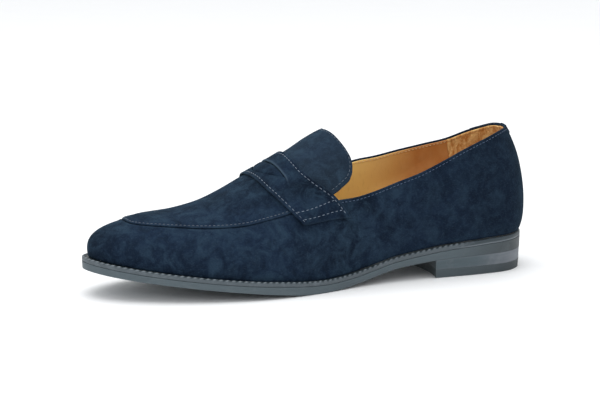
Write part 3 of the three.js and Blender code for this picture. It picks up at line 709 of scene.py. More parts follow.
# Its pale colour serves dust and scuffs and also the welt's painted highlights.
WELT_LOOK = rubber_material("welt_rubber", (0.016, 0.028, 0.036), (0.180, 0.210, 0.235), 0.45)
THREAD_LOOK = thread_material("blue_thread", (0.160, 0.205, 0.265), (0.050, 0.068, 0.098))
FAINT_THREAD_LOOK = thread_material("slate_thread", (0.070, 0.096, 0.132), (0.024, 0.035, 0.055))
DARK_THREAD_LOOK = thread_material("navy_thread", (0.036, 0.076, 0.155), (0.012, 0.026, 0.060))
TAN_THREAD_LOOK = thread_material("tan_thread", (0.720, 0.520, 0.270), (0.420, 0.260, 0.110))
BOARD_LOOK = fibrous_material("insole_board", (0.45, 0.29, 0.13), (0.60, 0.43, 0.24), 1.6, 0.2)
CORK_LOOK = fibrous_material("cork", (0.32, 0.17, 0.07), (0.50, 0.31, 0.15), 2.2, 0.5)
FOAM_LOOK = fibrous_material("foam", (0.30, 0.29, 0.27), (0.42, 0.41, 0.39), 0.8, 0.3)
STIFFENER_LOOK = fibrous_material("stiffener", (0.36, 0.22, 0.11), (0.52, 0.36, 0.21), 1.2, 0.2)
STEEL_LOOK = steel_material()

# ------------------------------------------------------------------ stitching


def resample(line, positions):
    """Points of a line of points at the given distances from its start."""
    travelled = lengths_along(line)
    return np.stack([np.interp(positions, travelled, line[:, k]) for k in range(line.shape[1])], -1)


STITCH_SECTIONS = 7
STITCH_SIDES = 6


def stitches(name, lines, material, pitch=STITCH_PITCH, radius=THREAD_RADIUS, fill=0.74):
    """Rows of single stitches. Each line is (points, outward directions) on the leather's surface."""
    reach = np.linspace(-1, 1, STITCH_SECTIONS)
    around = np.linspace(0, 2 * np.pi, STITCH_SIDES, endpoint=False)
    points, faces = [], []
    for path, outward in lines:
        count = max(int(lengths_along(path)[-1] / pitch), 1)
        middles = (np.arange(count) + 0.5) * lengths_along(path)[-1] / count
        line = np.concatenate([path, outward], axis=1)
        before, middle, after = (resample(line, middles + shift) for shift in (-pitch / 3, 0, pitch / 3))
        tangent = unit(after[:, :3] - before[:, :3])
        normal = unit(middle[:, 3:] - tangent * np.sum(middle[:, 3:] * tangent, 1, keepdims=True))
        beside = np.cross(tangent, normal)
        for k in range(count):
            arch = radius * (0.55 - 1.15 * reach**2)
            centres = middle[k, :3] + np.outer(reach * pitch * fill / 2, tangent[k])
            centres = centres + np.outer(arch, normal[k])
            thick = radius * np.sqrt(1 - reach**6)
            ring = np.outer(np.cos(around), beside[k]) + np.outer(np.sin(around), normal[k])
            start = sum(len(p) for p in points)
            points.append((centres[:, None, :] + thick[:, None, None] * ring).reshape(-1, 3))
            faces.append(grid_faces(STITCH_SECTIONS, STITCH_SIDES, start, wrap_columns=True))
    return make_piece(name, np.concatenate(points), np.concatenate(faces), material)


# ------------------------------------------------------------------ upper: the walls

WALL_COLUMNS = 460
TOP_STEPS = (
    0, 0.05, 0.14, 0.28, 0.45, 0.7, 1.0, 1.35, 1.65, 1.85, 2.0, 2.15, 2.35, 2.7, 3.1, 3.45, 3.65, 3.8,
    3.92, 4.02, 4.12, 4.24, 4.4, 4.65, 5.0, 5.5, 6.2, 7.0, 7.6, 8.0, 8.4, 9.2,
)


def wall_grid(turns, foot_angle, top_angle, steps, count, foot_steps=()):
    """Angles down a wall at set distances below its top edge, then evenly to its foot."""
    dense = lerp(top_angle, foot_angle, np.linspace(0, 1, 180)[:, None])
    down = lengths_along(skin(np.broadcast_to(turns, dense.shape), dense))
    columns, distances = [], []
    for j in range(len(turns)):
        whole = down[-1, j]
        near = [step for step in steps if step < whole * 0.6]
        near += [near[-1]] * (len(steps) - len(near))
        even = np.linspace(near[-1], whole - (foot_steps[0] if foot_steps else 0), count + 1)[1:]
        last = [whole - step for step in foot_steps[1:]]
        at = np.concatenate([near, even, last])
        columns.append(np.interp(at, down[:, j], dense[:, j]))
        distances.append(at)
    return np.array(columns).T, np.array(distances).T


def apron_side(turn, angle):
    """The side, from 0 to 1, at which the apron's outline rule sees a point of the wall."""
    station = skin(turn, angle)[..., 1]
    least = np.minimum(least_fraction(station), 0.999)
    fraction = fraction_at_angle(turn, angle)
    return station, np.sqrt(np.maximum(fraction**2 - least**2, 0) / (1 - least**2))


def seam_angle(turns):
    """The angle at which the apron's edge crosses each turn."""
    def outside(angle):
        return apron_inside(*apron_side(turns, angle)) < 0

    return bisect(outside, np.full_like(turns, 0.02), np.full_like(turns, math.pi / 2 - 0.02))


FOOT_STEPS = (1.6, 0.8, 0.3, 0)
FOOT_DROP = 0.4
FOOT_EASE = 0.8
FOOT_TUCK = 1.5
SKIVED_BY = 0.95
STRAP_COVERS = (152, 170)
APRON_BEGINS = (160, 172)
SEAM_RIDGE = 1.9
SEAM_CREASE = 3.9


def vamp_top(turns, station, seam):
    """The vamp's upper edge: the topline behind, and a lap under the apron in front."""
    open_edge = angle_at_fraction(turns, edge_fraction(topline, turns))
    under = angle_at_fraction(turns, np.maximum(fraction_at_angle(turns, seam) - SEAM_LAP, 0.05))
    return lerp(open_edge, under, smoothstep(station, *STRAP_COVERS))


def vamp_lifts(points, turns, station, down, below_seam):
    """How far the vamp's outer and inner faces stand off the surface."""
    half = SUEDE / 2
    fold = rounded(down, half)
    lift = ripple(points) + fold - half
    lift -= 0.22 * hump(down, STITCH_INSET, 0.42) * (1 - smoothstep(station, 148, 158))
    apron_here = smoothstep(station, *APRON_BEGINS)
    skived = smoothstep(-below_seam, -0.35, 0.15) * apron_here
    lift -= SKIVED_BY * skived
    beside_seam = apron_here * (below_seam > 0)
    lift += 0.22 * hump(below_seam, SEAM_RIDGE, 1.0) * beside_seam
    lift -= 0.14 * hump(below_seam, SEAM_CREASE, 0.4) * beside_seam
    back_line = np.minimum(turns, 1 - turns) * PERIMETER
    lift -= 0.32 * hump(back_line, 0, 0.7) * smoothstep(down, 1.0, 3.0)
    lift -= 0.45 * rounded_foot(down[-1] - down)
    drop = ripple(points) - half - fold
    return lift, np.minimum(drop, lift - 0.25 * (1 - skived) * smoothstep(down, 0, 0.6))


def vamp_wear(station, down, below_seam):
    """Suede is paler where it is rubbed: on the folded topline and on the ridge by the seam."""
    rubbed_top = 0.25 * hump(down, 0.2, 0.5) * (1 - smoothstep(station, *STRAP_COVERS))
    beside_seam = smoothstep(station, *APRON_BEGINS) * (below_seam > 0)
    return np.clip(rubbed_top + 0.2 * hump(below_seam, SEAM_RIDGE, 1.2) * beside_seam, 0, 1)


def vamp_piece():
    """The one-piece suede side, folded at the topline and lapped by the apron in front."""
    spread = np.linspace(-1, 1, WALL_COLUMNS + 1)[:-1]
    turns = np.mod(0.5 * (spread - 0.10 * np.sin(np.pi * spread) / np.pi), 1)
    station = feather(turns)[1]
    seam = seam_angle(turns)
    top = vamp_top(turns, station, seam)
    foot = np.full_like(turns, 0.004)
    angles, down = wall_grid(turns, foot, top, TOP_STEPS, 40, foot_steps=FOOT_STEPS)
    points, outward = side_surface(turns, angles)
    points[..., 2] -= FOOT_DROP * (1 - np.clip((down[-1] - down) / FOOT_EASE, 0, 1))
    lap = lerp(top, seam, np.linspace(0, 1, 60)[:, None])
    below_seam = down - lengths_along(skin(turns, lap))[-1]
    lifts = vamp_lifts(points, turns, station, down, below_seam)
    wear_and_painted_light = vamp_wear(station, down, below_seam)
    return sheet_piece("vamp_suede", points, outward, lifts, SUEDE_LOOK, wrap=True, wear_and_painted_light=wear_and_painted_light)


def rounded_foot(distance):
    """How far the foot of the upper tucks in above the welt, from 1 at the welt to 0 above it."""
    return 1 - np.sqrt(1 - (1 - np.clip(distance / FOOT_TUCK, 0, 1)) ** 2)


def stiffened_depth(points):
    """How far the lining lies behind the outer surface, deeper over the counter and the toe puff."""
    station = points[..., 1]
    rise = points[..., 2] - welt_top_at(station)
    counter = lerp(44, 26, smoothstep(station, 20, 88))
    over_counter = (1 - smoothstep(station, 89, 100)) * (1 - smoothstep(rise, counter + 1, counter + 12))
    over_puff = smoothstep(station, 226, 239) * (1 - smoothstep(rise, 15, 21))
    return SUEDE + LINING_GAP + (STIFFENER + STIFFENER_GAP) * np.maximum(over_counter, over_puff)


LINING_STEPS = (0, 0.06, 0.16, 0.3, 0.5, 0.8, 1.2, 1.6, 1.9, 2.2, 2.6, 3.2, 4.2, 5.6, 7.5, 10)
LINING_FOOT = SUEDE + INSOLE + 3 * GAP
LINING_SETBACK = 0.014
LINING_COLUMNS = 330


def lining_depths(points, down, thickness):
    """Outer and inner depths of a lining layer with a rounded top edge."""
    half = thickness / 2
    near_top = 1 - smoothstep(down, 2, 9)
    outside = lerp(stiffened_depth(points), SUEDE + 0.1, near_top)
    middle = outside + half - ripple(points)
    edge = rounded(down, half)
    groove = 0.12 * hump(down, STITCH_INSET + 0.1, 0.4)
    return middle - edge, middle + edge - groove


def lining_wall(name, start, end, material, thickness=LINING):
    """A stretch of lining between two turns."""
    turns = np.linspace(start, end, max(int((end - start) * LINING_COLUMNS), 24))
    top = angle_at_fraction(turns, edge_fraction(lining_edge, turns)) - LINING_SETBACK
    foot = angle_at_height(turns, LINING_FOOT)
    angles, down = wall_grid(turns, foot, top, LINING_STEPS, 26)
    points, outward = side_surface(np.broadcast_to(turns, angles.shape), angles)
    outer, inner = lining_depths(points, down, thickness)
    return sheet_piece(name, points, outward, (-outer, -inner), material)


GRIP_STATION = 35
QUARTER_STATION = 122
JOIN = 0.0002
GRIP_THICKNESS = 1.25


def grip_ends():
    return turn_at(GRIP_STATION, False) - 1, turn_at(GRIP_STATION, True)


def lining_pieces():
    """The linings round the wall, each with its material slot and CAD node."""
    grip_start, grip_end = grip_ends()
    outer, inner = turn_at(QUARTER_STATION, True), turn_at(QUARTER_STATION, False)
    quarters = (
        ("quarter_lining_outer", grip_end + JOIN, outer, "quarter_lining_lateral"),
        ("quarter_lining_inner", inner, grip_start + 1 - JOIN, "quarter_lining_medial"),
        ("vamp_lining_leather", outer + JOIN, inner - JOIN, "vamp_lining"),
    )
    grip = lining_wall("heel_grip_leather", grip_start, grip_end, GRIP_LOOK, GRIP_THICKNESS)
    return [(grip, "rough_lining", "heel_grip")] + [
        (lining_wall(name, start, end, LINING_LOOK), "smooth_lining", node)
        for name, start, end, node in quarters
    ]


TAB_TURNS = (-0.05, 0.022)
TAB_DEPTH = 0.085
TAB_THICKNESS = 0.6
TAB_SETBACK = 0.002


def tab_angle(turn, share):
    """The angle on the wall a share of the way down the band over the back seam."""
    top = angle_at_fraction(turn, edge_fraction(topline, turn)) - TAB_SETBACK
    return top - TAB_DEPTH * share


def heel_tab_piece():
    """The thin band over the top of the back seam, longer on the inner side."""
    width = (TAB_TURNS[1] - TAB_TURNS[0]) * PERIMETER
    turns = lerp(*TAB_TURNS, crowd(width, EDGE_STEPS, 30, both=True))[None, :]
    drops = crowd(7, (0, 0.05, 0.14, 0.28, 0.45, 0.65, 0.9, 1.25), 12, both=True)[:, None]
    turn, share = np.broadcast_arrays(turns, drops)
    points, outward = side_surface(turn, tab_angle(turn, share))
    inside = edge_distance(points)
    half = TAB_THICKNESS / 2
    edge = rounded(inside, half)
    middle = half - 0.05 + ripple(points)
    lifts = middle + edge - 0.12 * hump(inside, 1.5, 0.35), middle - edge
    wear_and_painted_light = 0.6 * hump(inside, 0.2, 0.5)
    return sheet_piece("heel_tab_suede", points, outward, lifts, SUEDE_LOOK, wear_and_painted_light=wear_and_painted_light)


def edge_distance(points):
    """Distance of each grid point from the nearest of the grid's four sides."""
    down, along = lengths_along(points, 0), lengths_along(points, 1)
    return np.minimum.reduce([down, down[-1:] - down, along, along[:, -1:] - along])


# ------------------------------------------------------------------ upper: over the top


class Leaf:
    """A piece over the top of the foot, mapped from its outline in to its own middle line."""

    def __init__(self, outline, hidden_edge, spine_front, inner_share=1.0, steps=260):
        """Outline is half of the edge, as (station, side), from the hidden end round to the middle.

        Hidden edge gives the station of the hidden end by side. Inner share narrows the inner half.
        """
        station, side = np.array(outline, float).T
        self.hidden_edge = hidden_edge
        self.inner_share = inner_share
        travelled = lengths_along(crown(station, side))
        even = np.linspace(0, travelled[-1], steps)
        self.share = even / even[-1]
        self.station = np.interp(even, travelled, station)
        self.side = np.interp(even, travelled, side)
        self.spine = lerp(hidden_edge(0), spine_front, self.share**1.35)
        inward = np.linspace(0, 1, 14)[:, None]
        lines = crown(lerp(self.station, self.spine, inward), lerp(self.side, 0 * self.side, inward))
        self.width = lengths_along(lines)[-1]
        self.length = travelled[-1]

    def at(self, share, inset=None, across=None):
        """(station, side) at a share of the outline, by distance in or by share of the way in."""
        station, side, spine, width = (
            np.interp(share, self.share, column)
            for column in (self.station, self.side, self.spine, self.width)
        )
        inward = across if inset is None else inset / width
        start = self.side[0] * (1 - inward)
        bow = self.hidden_edge(start) - lerp(self.station[0], self.spine[0], inward)
        return lerp(station, spine, inward) + bow * (1 - share) ** 4, side * (1 - inward)

    def grid(self, along, across):
        """The whole piece as (station, side) rows from one edge over the middle to the other."""
        station, side = self.at(along[:, None], across=across[None, :])
        mirrored = slice(-2, None, -1)
        return (
            np.concatenate([station, station[:, mirrored]], 1),
            np.concatenate([side, -side[:, mirrored] * self.inner_share], 1),
            np.concatenate([across, across[mirrored]]),
        )


def apron_outline():
    sides = APRON_HALF_WIDTH * np.sin(np.linspace(np.pi / 2, 0, 240))
    front = APRON_SHOULDER + (APRON_TIP - APRON_SHOULDER) * (
        np.maximum(0, 1 - (sides / APRON_HALF_WIDTH) ** APRON_POWER) ** (1 / APRON_TIP_POWER)
    )
    straight = np.linspace(split_station(APRON_HALF_WIDTH), APRON_SHOULDER, 60)[:-1]
    return np.concatenate([
        np.stack([straight, np.full_like(straight, APRON_HALF_WIDTH)], 1),
        np.stack([front, sides], 1),
    ])


def apron_rise(station, side):
    raised = 1 - smoothstep(apron_inside(station, side), 0.3, 0.6)
    return APRON_EDGE_RISE * raised * smoothstep(station, 158, 168)


APRON_LEAF = Leaf(apron_outline(), split_station, APRON_TIP - 20)
SLOT_PILLOW = 2.1


def slot_station(across, outer_station):
    """One edge of the slot: from its tips in to its middle, level with the tips beyond them."""
    share = np.clip(np.abs(across) / SLOT_TIP_ACROSS, 0, 1)
    return lerp(outer_station, SLOT_TIP_STATION, share**2.2)


def slot_pillow(points):
    """How far the apron swells up through the strap's slot."""
    size = np.clip(np.abs(points[..., 0]) / SLOT_TIP_ACROSS, 0, 1)
    back, front = slot_station(points[..., 0], SLOT_BACK), slot_station(points[..., 0], SLOT_FRONT)
    reach = (front - back) / 2 + 0.2
    forward = np.clip(1 - (np.abs(points[..., 1] - (front + back) / 2) / reach) ** 4, 0, 1)
    return SLOT_PILLOW * (1 - size**4) * forward


def leaf_piece(name, leaf, along, across, layers, material, wear_and_painted_light=None):
    """A leaf as a thick sheet. Layers gives the outer and inner lift from places and edge distance."""
    station, side, inward = leaf.grid(along, across)
    points, outward = crown_surface(station, side)
    inside = inward[None, :] * np.interp(along, leaf.share, leaf.width)[:, None]
    lifts = layers(points, station, side, inside)
    shade = wear_and_painted_light(inside) if wear_and_painted_light else None
    return sheet_piece(name, points, outward, lifts, material, rims="tlr", wear_and_painted_light=shade)


def apron_layers(points, station, side, inside):
    rise = apron_rise(station, side)
    half = (SUEDE - 0.1) / 2
    edge = rounded(inside, half)
    middle = rise - half + ripple(points) + slot_pillow(points)
    pucker = 0.16 * hump(inside, 1.7, 0.5) + 0.10 * hump(inside, 5.2, 0.7)
    return middle + edge - pucker, middle - edge


def apron_piece():
    along = np.linspace(0, 1, 150)
    across = crowd(48, EDGE_STEPS, 34)
    return leaf_piece(
        "apron_suede", APRON_LEAF, along, across, apron_layers, SUEDE_LOOK,
        wear_and_painted_light=lambda inside: 0.45 * hump(inside, 0.5, 0.5),
    )


APRON_LINING_DEPTH = SUEDE + LINING_GAP + LINING + 0.1
APRON_LINING_REACH = 4
APRON_LINING_TIP = APRON_TIP - 5


def even_layers(depth, thickness, groove=0.0):
    """A rule for an even leather at a depth, with round edges and a groove under its stitches."""
    def layers(points, _station, _side, inside):
        middle = ripple(points) - depth - thickness / 2
        edge = rounded(inside, thickness / 2)
        return middle + edge - groove * hump(inside, STITCH_INSET, 0.45), middle - edge

    return layers


def apron_lining_end(side):
    return split_station(side) - APRON_LINING_REACH


def apron_lining_piece():
    """The apron's lining, which laps the inside of the side linings and of the tongue's lining."""
    station, side = apron_outline().T
    front_share = np.clip((station - APRON_SHOULDER) / (APRON_TIP - APRON_SHOULDER), 0, 1)
    back_share = np.clip((APRON_SHOULDER - station) / (APRON_SHOULDER - station[0]), 0, 1)
    side = side * lerp(1.055, 0.955, smoothstep(station, 190, 225))
    front = lerp(APRON_SHOULDER, APRON_LINING_TIP, front_share)
    back = lerp(APRON_SHOULDER, apron_lining_end(side[0]), back_share)
    outline = np.stack([np.where(station > APRON_SHOULDER, front, back), side], 1)
    leaf = Leaf(outline, apron_lining_end, APRON_TIP - 25)
    return leaf_piece(
        "apron_lining_leather", leaf, np.linspace(0, 1, 70), crowd(46, (0, 0.1, 0.3, 0.6, 1.2), 22),
        even_layers(APRON_LINING_DEPTH, LINING), LINING_LOOK,
    )


TONGUE_FRONT_GAP = 0.6


def tongue_outline(half_width, trim=0.0):
    """Half the tongue's edge, from under the strap back along its side and round its end."""
    front = split_station(half_width) - TONGUE_FRONT_GAP
    back = TONGUE_END[-1][1] + trim
    straight = np.linspace(front, back, 40)[:-1]
    swing = np.linspace(1, 0, 160)
    sides = half_width * (1 - (1 - swing) ** 1.6)
    stretched = sides / half_width * TONGUE_HALF_WIDTH
    return np.concatenate([
        np.stack([straight, np.full_like(straight, half_width)], 1),
        np.stack([tongue_end(stretched) + trim, sides], 1),
    ])


def tongue_front(side):
    return split_station(side) - TONGUE_FRONT_GAP


TONGUE_LEAF = Leaf(tongue_outline(TONGUE_HALF_WIDTH), tongue_front, 150, TONGUE_INNER_SHARE)


def tongue_piece():
    return leaf_piece(
        "tongue_suede", TONGUE_LEAF, np.linspace(0, 1, 120), crowd(40, EDGE_STEPS, 30),
        even_layers(0, SUEDE - 0.1, groove=0.2), SUEDE_LOOK,
        # The whole tongue is painted paler: partly a paler tone of its suede, partly painted light for the
        # brighter light on it. Its edges are rubbed paler still.
        wear_and_painted_light=lambda inside: 0.65 + 0.2 * hump(inside, 0.3, 0.5),
    )


def tongue_lining_piece():
    outline = tongue_outline(TONGUE_HALF_WIDTH - 0.005, 0.3)
    leaf = Leaf(outline, tongue_front, 150, TONGUE_INNER_SHARE)
    return leaf_piece(
        "tongue_lining_leather", leaf, np.linspace(0, 1, 90), crowd(40, EDGE_STEPS, 20),
        even_layers(SUEDE + 0.05, LINING), LINING_LOOK,
    )


# The saddle strap, in two bands that part at the slot

STRAP_THICKNESS = SUEDE + 0.15


def strap_place(swing, share):
    """(station, side) on the strap: swing from -1 to 1 along it, share from its back to its front edge."""
    side = swing * lerp(STRAP_BACK["half_width"], STRAP_FRONT["half_width"], share)
    return lerp(strap_edge(STRAP_BACK, side), strap_edge(STRAP_FRONT, side), share), side


def strap_lift(side):
    """How far the strap's underside stands off the surface, to clear the apron's edge."""
    size = np.abs(side)
    return GAP + APRON_EDGE_RISE * smoothstep(size, 0.48, 0.6) * (1 - smoothstep(size, 0.815, 0.89))


def slot_share(swing, outer_station):
    """The share across the strap at which each column meets an edge of the slot."""
    def behind(share):
        station, side = strap_place(swing, share)
        return station < slot_station(crown(station, side)[..., 0], outer_station)

    return bisect(behind, np.zeros_like(swing), np.ones_like(swing), steps=24)


SLOT_FADE = 2.5


def strap_columns():
    """Swings along the strap, crowded at its ends and at the tips of the slot."""
    ends = crowd(150, EDGE_STEPS, 120, both=True) * 2 - 1
    across = crown(*strap_place(ends, 0.45))[:, 0]
    tips = [np.interp(sign * SLOT_TIP_ACROSS, across, ends) for sign in (-1, 1)]
    extra = [tip + step for tip in tips for step in (-0.012, -0.006, -0.003, 0, 0.003, 0.006, 0.012)]
    return np.unique(np.concatenate([ends, extra]))


def strap_band(swings, start, end, slot_at_end):
    """One band of the strap: its grid, its distance from free edges and from the slot."""
    shares = crowd(13, EDGE_STEPS, 8, both=True)[:, None]
    share = lerp(start[None, :], end[None, :], shares)
    station, side = strap_place(swings[None, :], share)
    points, outward = crown_surface(station, side)
    down, along = lengths_along(points, 0), lengths_along(points, 1)
    from_end = np.minimum(along, along[:, -1:] - along)
    to_slot = down[-1:] - down if slot_at_end else down
    free = down if slot_at_end else down[-1:] - down
    return points, outward, side, np.minimum(free, from_end), to_slot


def strap_piece():
    """The saddle strap with its rolled edges and the eye-shaped slot."""
    swings = strap_columns()
    back, front = slot_share(swings, SLOT_BACK), slot_share(swings, SLOT_FRONT)
    middle_across = crown(*strap_place(swings, (back + front) / 2))[:, 0]
    beyond = np.maximum(np.abs(middle_across) - SLOT_TIP_ACROSS, 0)
    closed = beyond > 0
    joined = (back + front) / 2
    back, front = np.where(closed, joined, back), np.where(closed, joined, front)
    open_share = np.exp(-((beyond / SLOT_FADE) ** 2))
    half = STRAP_THICKNESS / 2
    grids, faces, wear_and_painted_light = [], [], []
    count = 0
    bands = [(np.zeros_like(swings), back, True), (front, np.ones_like(swings), False)]
    for start, end, slot_at_end in bands:
        points, outward, side, free, to_slot = strap_band(swings, start, end, slot_at_end)
        at_slot = open_share * (1 - rounded(to_slot, half) / half)
        edge = rounded(free, half) * (1 - at_slot)
        middle = strap_lift(side) + half + ripple(points)
        lip = (0.26 if slot_at_end else 0.04) * open_share * hump(to_slot, 0.9, 0.9)
        sewn = 0.24 * hump(free, STRAP_STITCH_INSET, 0.5)
        outer = points + outward * (middle + edge - sewn + lip)[..., None]
        inner = points + outward * (middle - edge)[..., None]
        rows, columns = outer.shape[:2]
        ids = np.arange(rows * columns).reshape(rows, columns) + count
        total = rows * columns
        faces += [grid_faces(rows, columns, count), grid_faces(rows, columns, count + total)]
        free_row = ids[0] if slot_at_end else ids[-1]
        faces += [rim_faces(line, line + total) for line in (free_row, ids[:, 0], ids[:, -1])]
        grids += [outer.reshape(-1, 3), inner.reshape(-1, 3)]
        # A painted highlight along the slot's lip, added below to the real wear of the rolled edges.
        painted_lip_highlight = 3.2 * open_share * hump(to_slot, 0.3, 0.7) * slot_at_end
        shade = np.clip(0.4 * hump(free, 0.4, 0.5) + painted_lip_highlight, 0, 3.2)
        wear_and_painted_light += [shade.ravel()] * 2
        count += 2 * total
    return make_piece(
        "saddle_strap_suede", np.concatenate(grids), np.concatenate(faces), SUEDE_LOOK,
        np.concatenate(wear_and_painted_light),
    )


# ------------------------------------------------------------------ stitched rows


def sewn_on(points, outward, lift):
    """A row of sewing at a lift off a surface, as (points, outward directions)."""
    return points + outward * (lift + ripple(points))[:, None], outward


def on_crown(station, side, lift):
    return sewn_on(*crown_surface(station, side), lift)


def strap_rows():
    """One row inside each long edge of the strap, and two rows across each end."""
    swings = np.linspace(-1, 1, 240)
    width = lengths_along(np.stack([crown(*strap_place(swings, t)) for t in np.linspace(0, 1, 5)]))[-1]
    inset = STRAP_STITCH_INSET / width
    top = STRAP_THICKNESS - 0.22
    lines = []
    keep = np.abs(swings) < 0.985
    for share in (inset, 1 - inset):
        station, side = strap_place(swings[keep], share[keep])
        lines.append(on_crown(station, side, strap_lift(side) + top))
    length = lengths_along(crown(*strap_place(np.linspace(0, 1, 60), 0.5)))[-1]
    shares = np.linspace(0.07, 0.93, 60)
    for row in (STRAP_STITCH_INSET, STRAP_STITCH_INSET + STRAP_ROW_GAP):
        for sign in (-1, 1):
            station, side = strap_place(np.full_like(shares, sign * (1 - row / length)), shares)
            lines.append(on_crown(station, side, strap_lift(side) + top + 0.1))
    return lines


def leaf_rows(leaf, inset, lift, start=0.0):
    """A row all round a leaf, at a distance in from its edge."""
    share = np.linspace(start, 1, 260)
    station, side = leaf.at(share, inset=inset)
    inner = -side[-2::-1] * leaf.inner_share
    both = [np.concatenate([station, station[-2::-1]]), np.concatenate([side, inner])]
    return [on_crown(both[0], both[1], lift(both[0], both[1]))]


def wall_row(turns, below, lift):
    """A row round the wall at a distance below the topline."""
    top = angle_at_fraction(turns, edge_fraction(topline, turns))
    angles = wall_grid(turns, np.full_like(turns, 0.2), top, (0, below), 2)[0]
    points, outward = side_surface(turns, angles[1])
    return sewn_on(points, outward, lift(points))


def topline_rows(below, lift, starts=(0.0, 0.0), last=150):
    """A row along the topline on each side of the back, as far as the strap."""
    outer = np.linspace(starts[0], turn_at(last, True), 300)
    inner = np.linspace(turn_at(last, False), 1 - starts[1], 300)
    return [wall_row(outer, below, lift), wall_row(inner, below, lift)]


def apron_seam_lift(station, side):
    return apron_rise(station, side) - 0.12


def held_at(lift):
    """The same lift off the surface everywhere along a row."""
    return lambda *places: np.full(len(places[0]), lift)


def stitched_rows():
    """Every visible row of sewing, the tongue's own last."""
    lining_rows = topline_rows(2.1, held_at(-(SUEDE + 0.1 + LINING)))
    rows = (
        ("apron_seam_thread", leaf_rows(APRON_LEAF, 1.2, apron_seam_lift, 0.12), FAINT_THREAD_LOOK, 2.6),
        ("strap_thread", strap_rows(), THREAD_LOOK),
        ("topline_thread", topline_rows(STITCH_INSET, held_at(-0.16), (0.026, 0.054)),
         DARK_THREAD_LOOK, 2.7),
        ("lining_thread", [(points, -outward) for points, outward in lining_rows],
         TAN_THREAD_LOOK, 2.7, 0.22),
        ("heel_tab_thread", tab_rows(), DARK_THREAD_LOOK, 2.4, 0.2),
        ("tongue_thread", leaf_rows(TONGUE_LEAF, STITCH_INSET, held_at(-0.2), 0.1),
         FAINT_THREAD_LOOK, 2.9, 0.22),
    )
    return [stitches(*row) for row in rows]


def tab_rows():
    """A row just above the lower edge of the band at the back."""
    turn = np.linspace(TAB_TURNS[0] + 0.002, TAB_TURNS[1] - 0.002, 80)
    points, outward = side_surface(turn, tab_angle(turn, 0.8))
    return [sewn_on(points, outward, TAB_THICKNESS - 0.12)]


# ------------------------------------------------------------------ bottom


def matched_turns(count):
    """Turns once round the sole, its two sides sampled at the same stations."""
    outer = np.linspace(0, TOE_TURN, count)
    stations = sole_edge(outer, 0)[1]

    def before(way):
        return sole_edge(1 - way, 0)[1] < stations

    back = bisect(before, np.zeros(count), np.full(count, 1 - TOE_TURN))
    return np.concatenate([outer, 1 - back[-2:0:-1]])


def spine_points(turns):
    """The middle line that each point of the sole edge is drawn in towards."""
    station = sole_edge(turns, 0)[1]
    count = len(turns) // 2
    mirrored = np.concatenate([station[: count + 1], station[count - 1:0:-1]])
    spine = lerp(SPINE_BACK, SPINE_FRONT, np.clip(mirrored / LENGTH, 0, 1))
    return ridge_across(spine) * 0.5, spine


def sole_ring(turns, inset, inward=0.0):
    """A ring inside the sole edge by a distance, then by a share of the way to the middle line."""
    across, station = sole_edge(turns, inset)
    if not np.any(inward):
        return across, station
    spine_across, spine_station = spine_points(turns)
    return lerp(across, spine_across, inward), lerp(station, spine_station, inward)


def slab_piece(name, turns, levels, material, edge_wear=0.0):
    """A flat layer in rings. Each level is (inset, share to the middle, height from stations)."""
    rings = []
    for inset, inward, height in levels:
        across, station = sole_ring(turns, inset, inward)
        rings.append(np.stack([across, station, height(station)], -1))
    shades = [edge_wear if k in WORN_LEVELS else 0.0 for k in range(len(levels))]
    return ring_piece(name, rings, material, shades)


# How far in the rings of a flat face lie, and which of the levels below go down the worn edge
MIDDLE_SHARES = (0.12, 0.3, 0.5, 0.7, 0.85, 0.95, 1.0)
WORN_LEVELS = range(11, 22)


def raised(height, by):
    """A height rule moved up by a distance."""
    return lambda station: height(station) + by


def between(low, high, share):
    """A height rule a share of the way from one to another."""
    return lambda station: lerp(low(station), high(station), share)


def corner_arc(*degrees):
    """(distance in, distance down) shares round an eased corner, at the given angles."""
    return [(1 - math.cos(angle), 1 - math.sin(angle)) for angle in np.radians(degrees)]


def edge_levels(top, bottom, inset, depth, corner=0.5, tuck=0.0, tread=()):
    """Levels of a slab from the middle of its top, round its edge, to the middle of its bottom."""
    arc = corner_arc(0, 22, 45, 68, 90)
    upper, lower = raised(top, -corner), raised(bottom, corner)
    levels = [(inset + depth, share, top) for share in reversed(MIDDLE_SHARES)]
    levels += [(inset + step, 0, top) for step in (depth, 3, 1.5)]
    levels += [(inset + corner * down, 0, raised(top, -corner * across)) for across, down in arc]
    levels += [(inset + tuck * share, 0, between(upper, lower, share)) for share in (0.25, 0.5, 0.75)]
    levels += [
        (inset + tuck + corner * across, 0, raised(bottom, corner * down)) for across, down in arc
    ]
    levels += [(inset + tuck + 1.5, 0, bottom), (inset + tuck + 3, 0, bottom), *tread]
    levels += [(inset + depth, share, bottom) for share in (0, *MIDDLE_SHARES)]
    return levels


CHANNEL_INSET = 5.2
CHANNEL_DEPTH = 0.7
CHANNEL_PROFILE = ((-0.7, 0), (-0.45, 0.7), (0, 1), (0.45, 0.7), (0.7, 0))


def outsole_piece():
    """The outsole: a square-cut edge with eased corners and a shallow channel round its tread."""
    channel = [
        (CHANNEL_INSET + step, 0, raised(tread_at, CHANNEL_DEPTH * share))
        for step, share in CHANNEL_PROFILE
    ]
    levels = edge_levels(raised(sole_top_at, -0.06), tread_at, 0, 8.6, 0.3, 0.2, channel)
    return slab_piece("outsole_rubber", matched_turns(330), levels, SOLE_LOOK, edge_wear=0.12)


MARK_SLANT = 0.9
MARK_HEIGHT = 0.95
MARK_SAMPLES = 9
WELT_DROP = 0.42
WELT_SIDE = ((0.3, 0.03), (0.06, 0.1), (0.0, 0.25), (0.0, 0.5), (0.0, 0.72), (0.03, 0.9))
WELT_TOP_STEPS = (0.1, 0.25, 0.5, 0.8, 1.15, 1.5, 1.9, 2.3, 2.7, 3.1, 3.6, 4.4, 6.0)


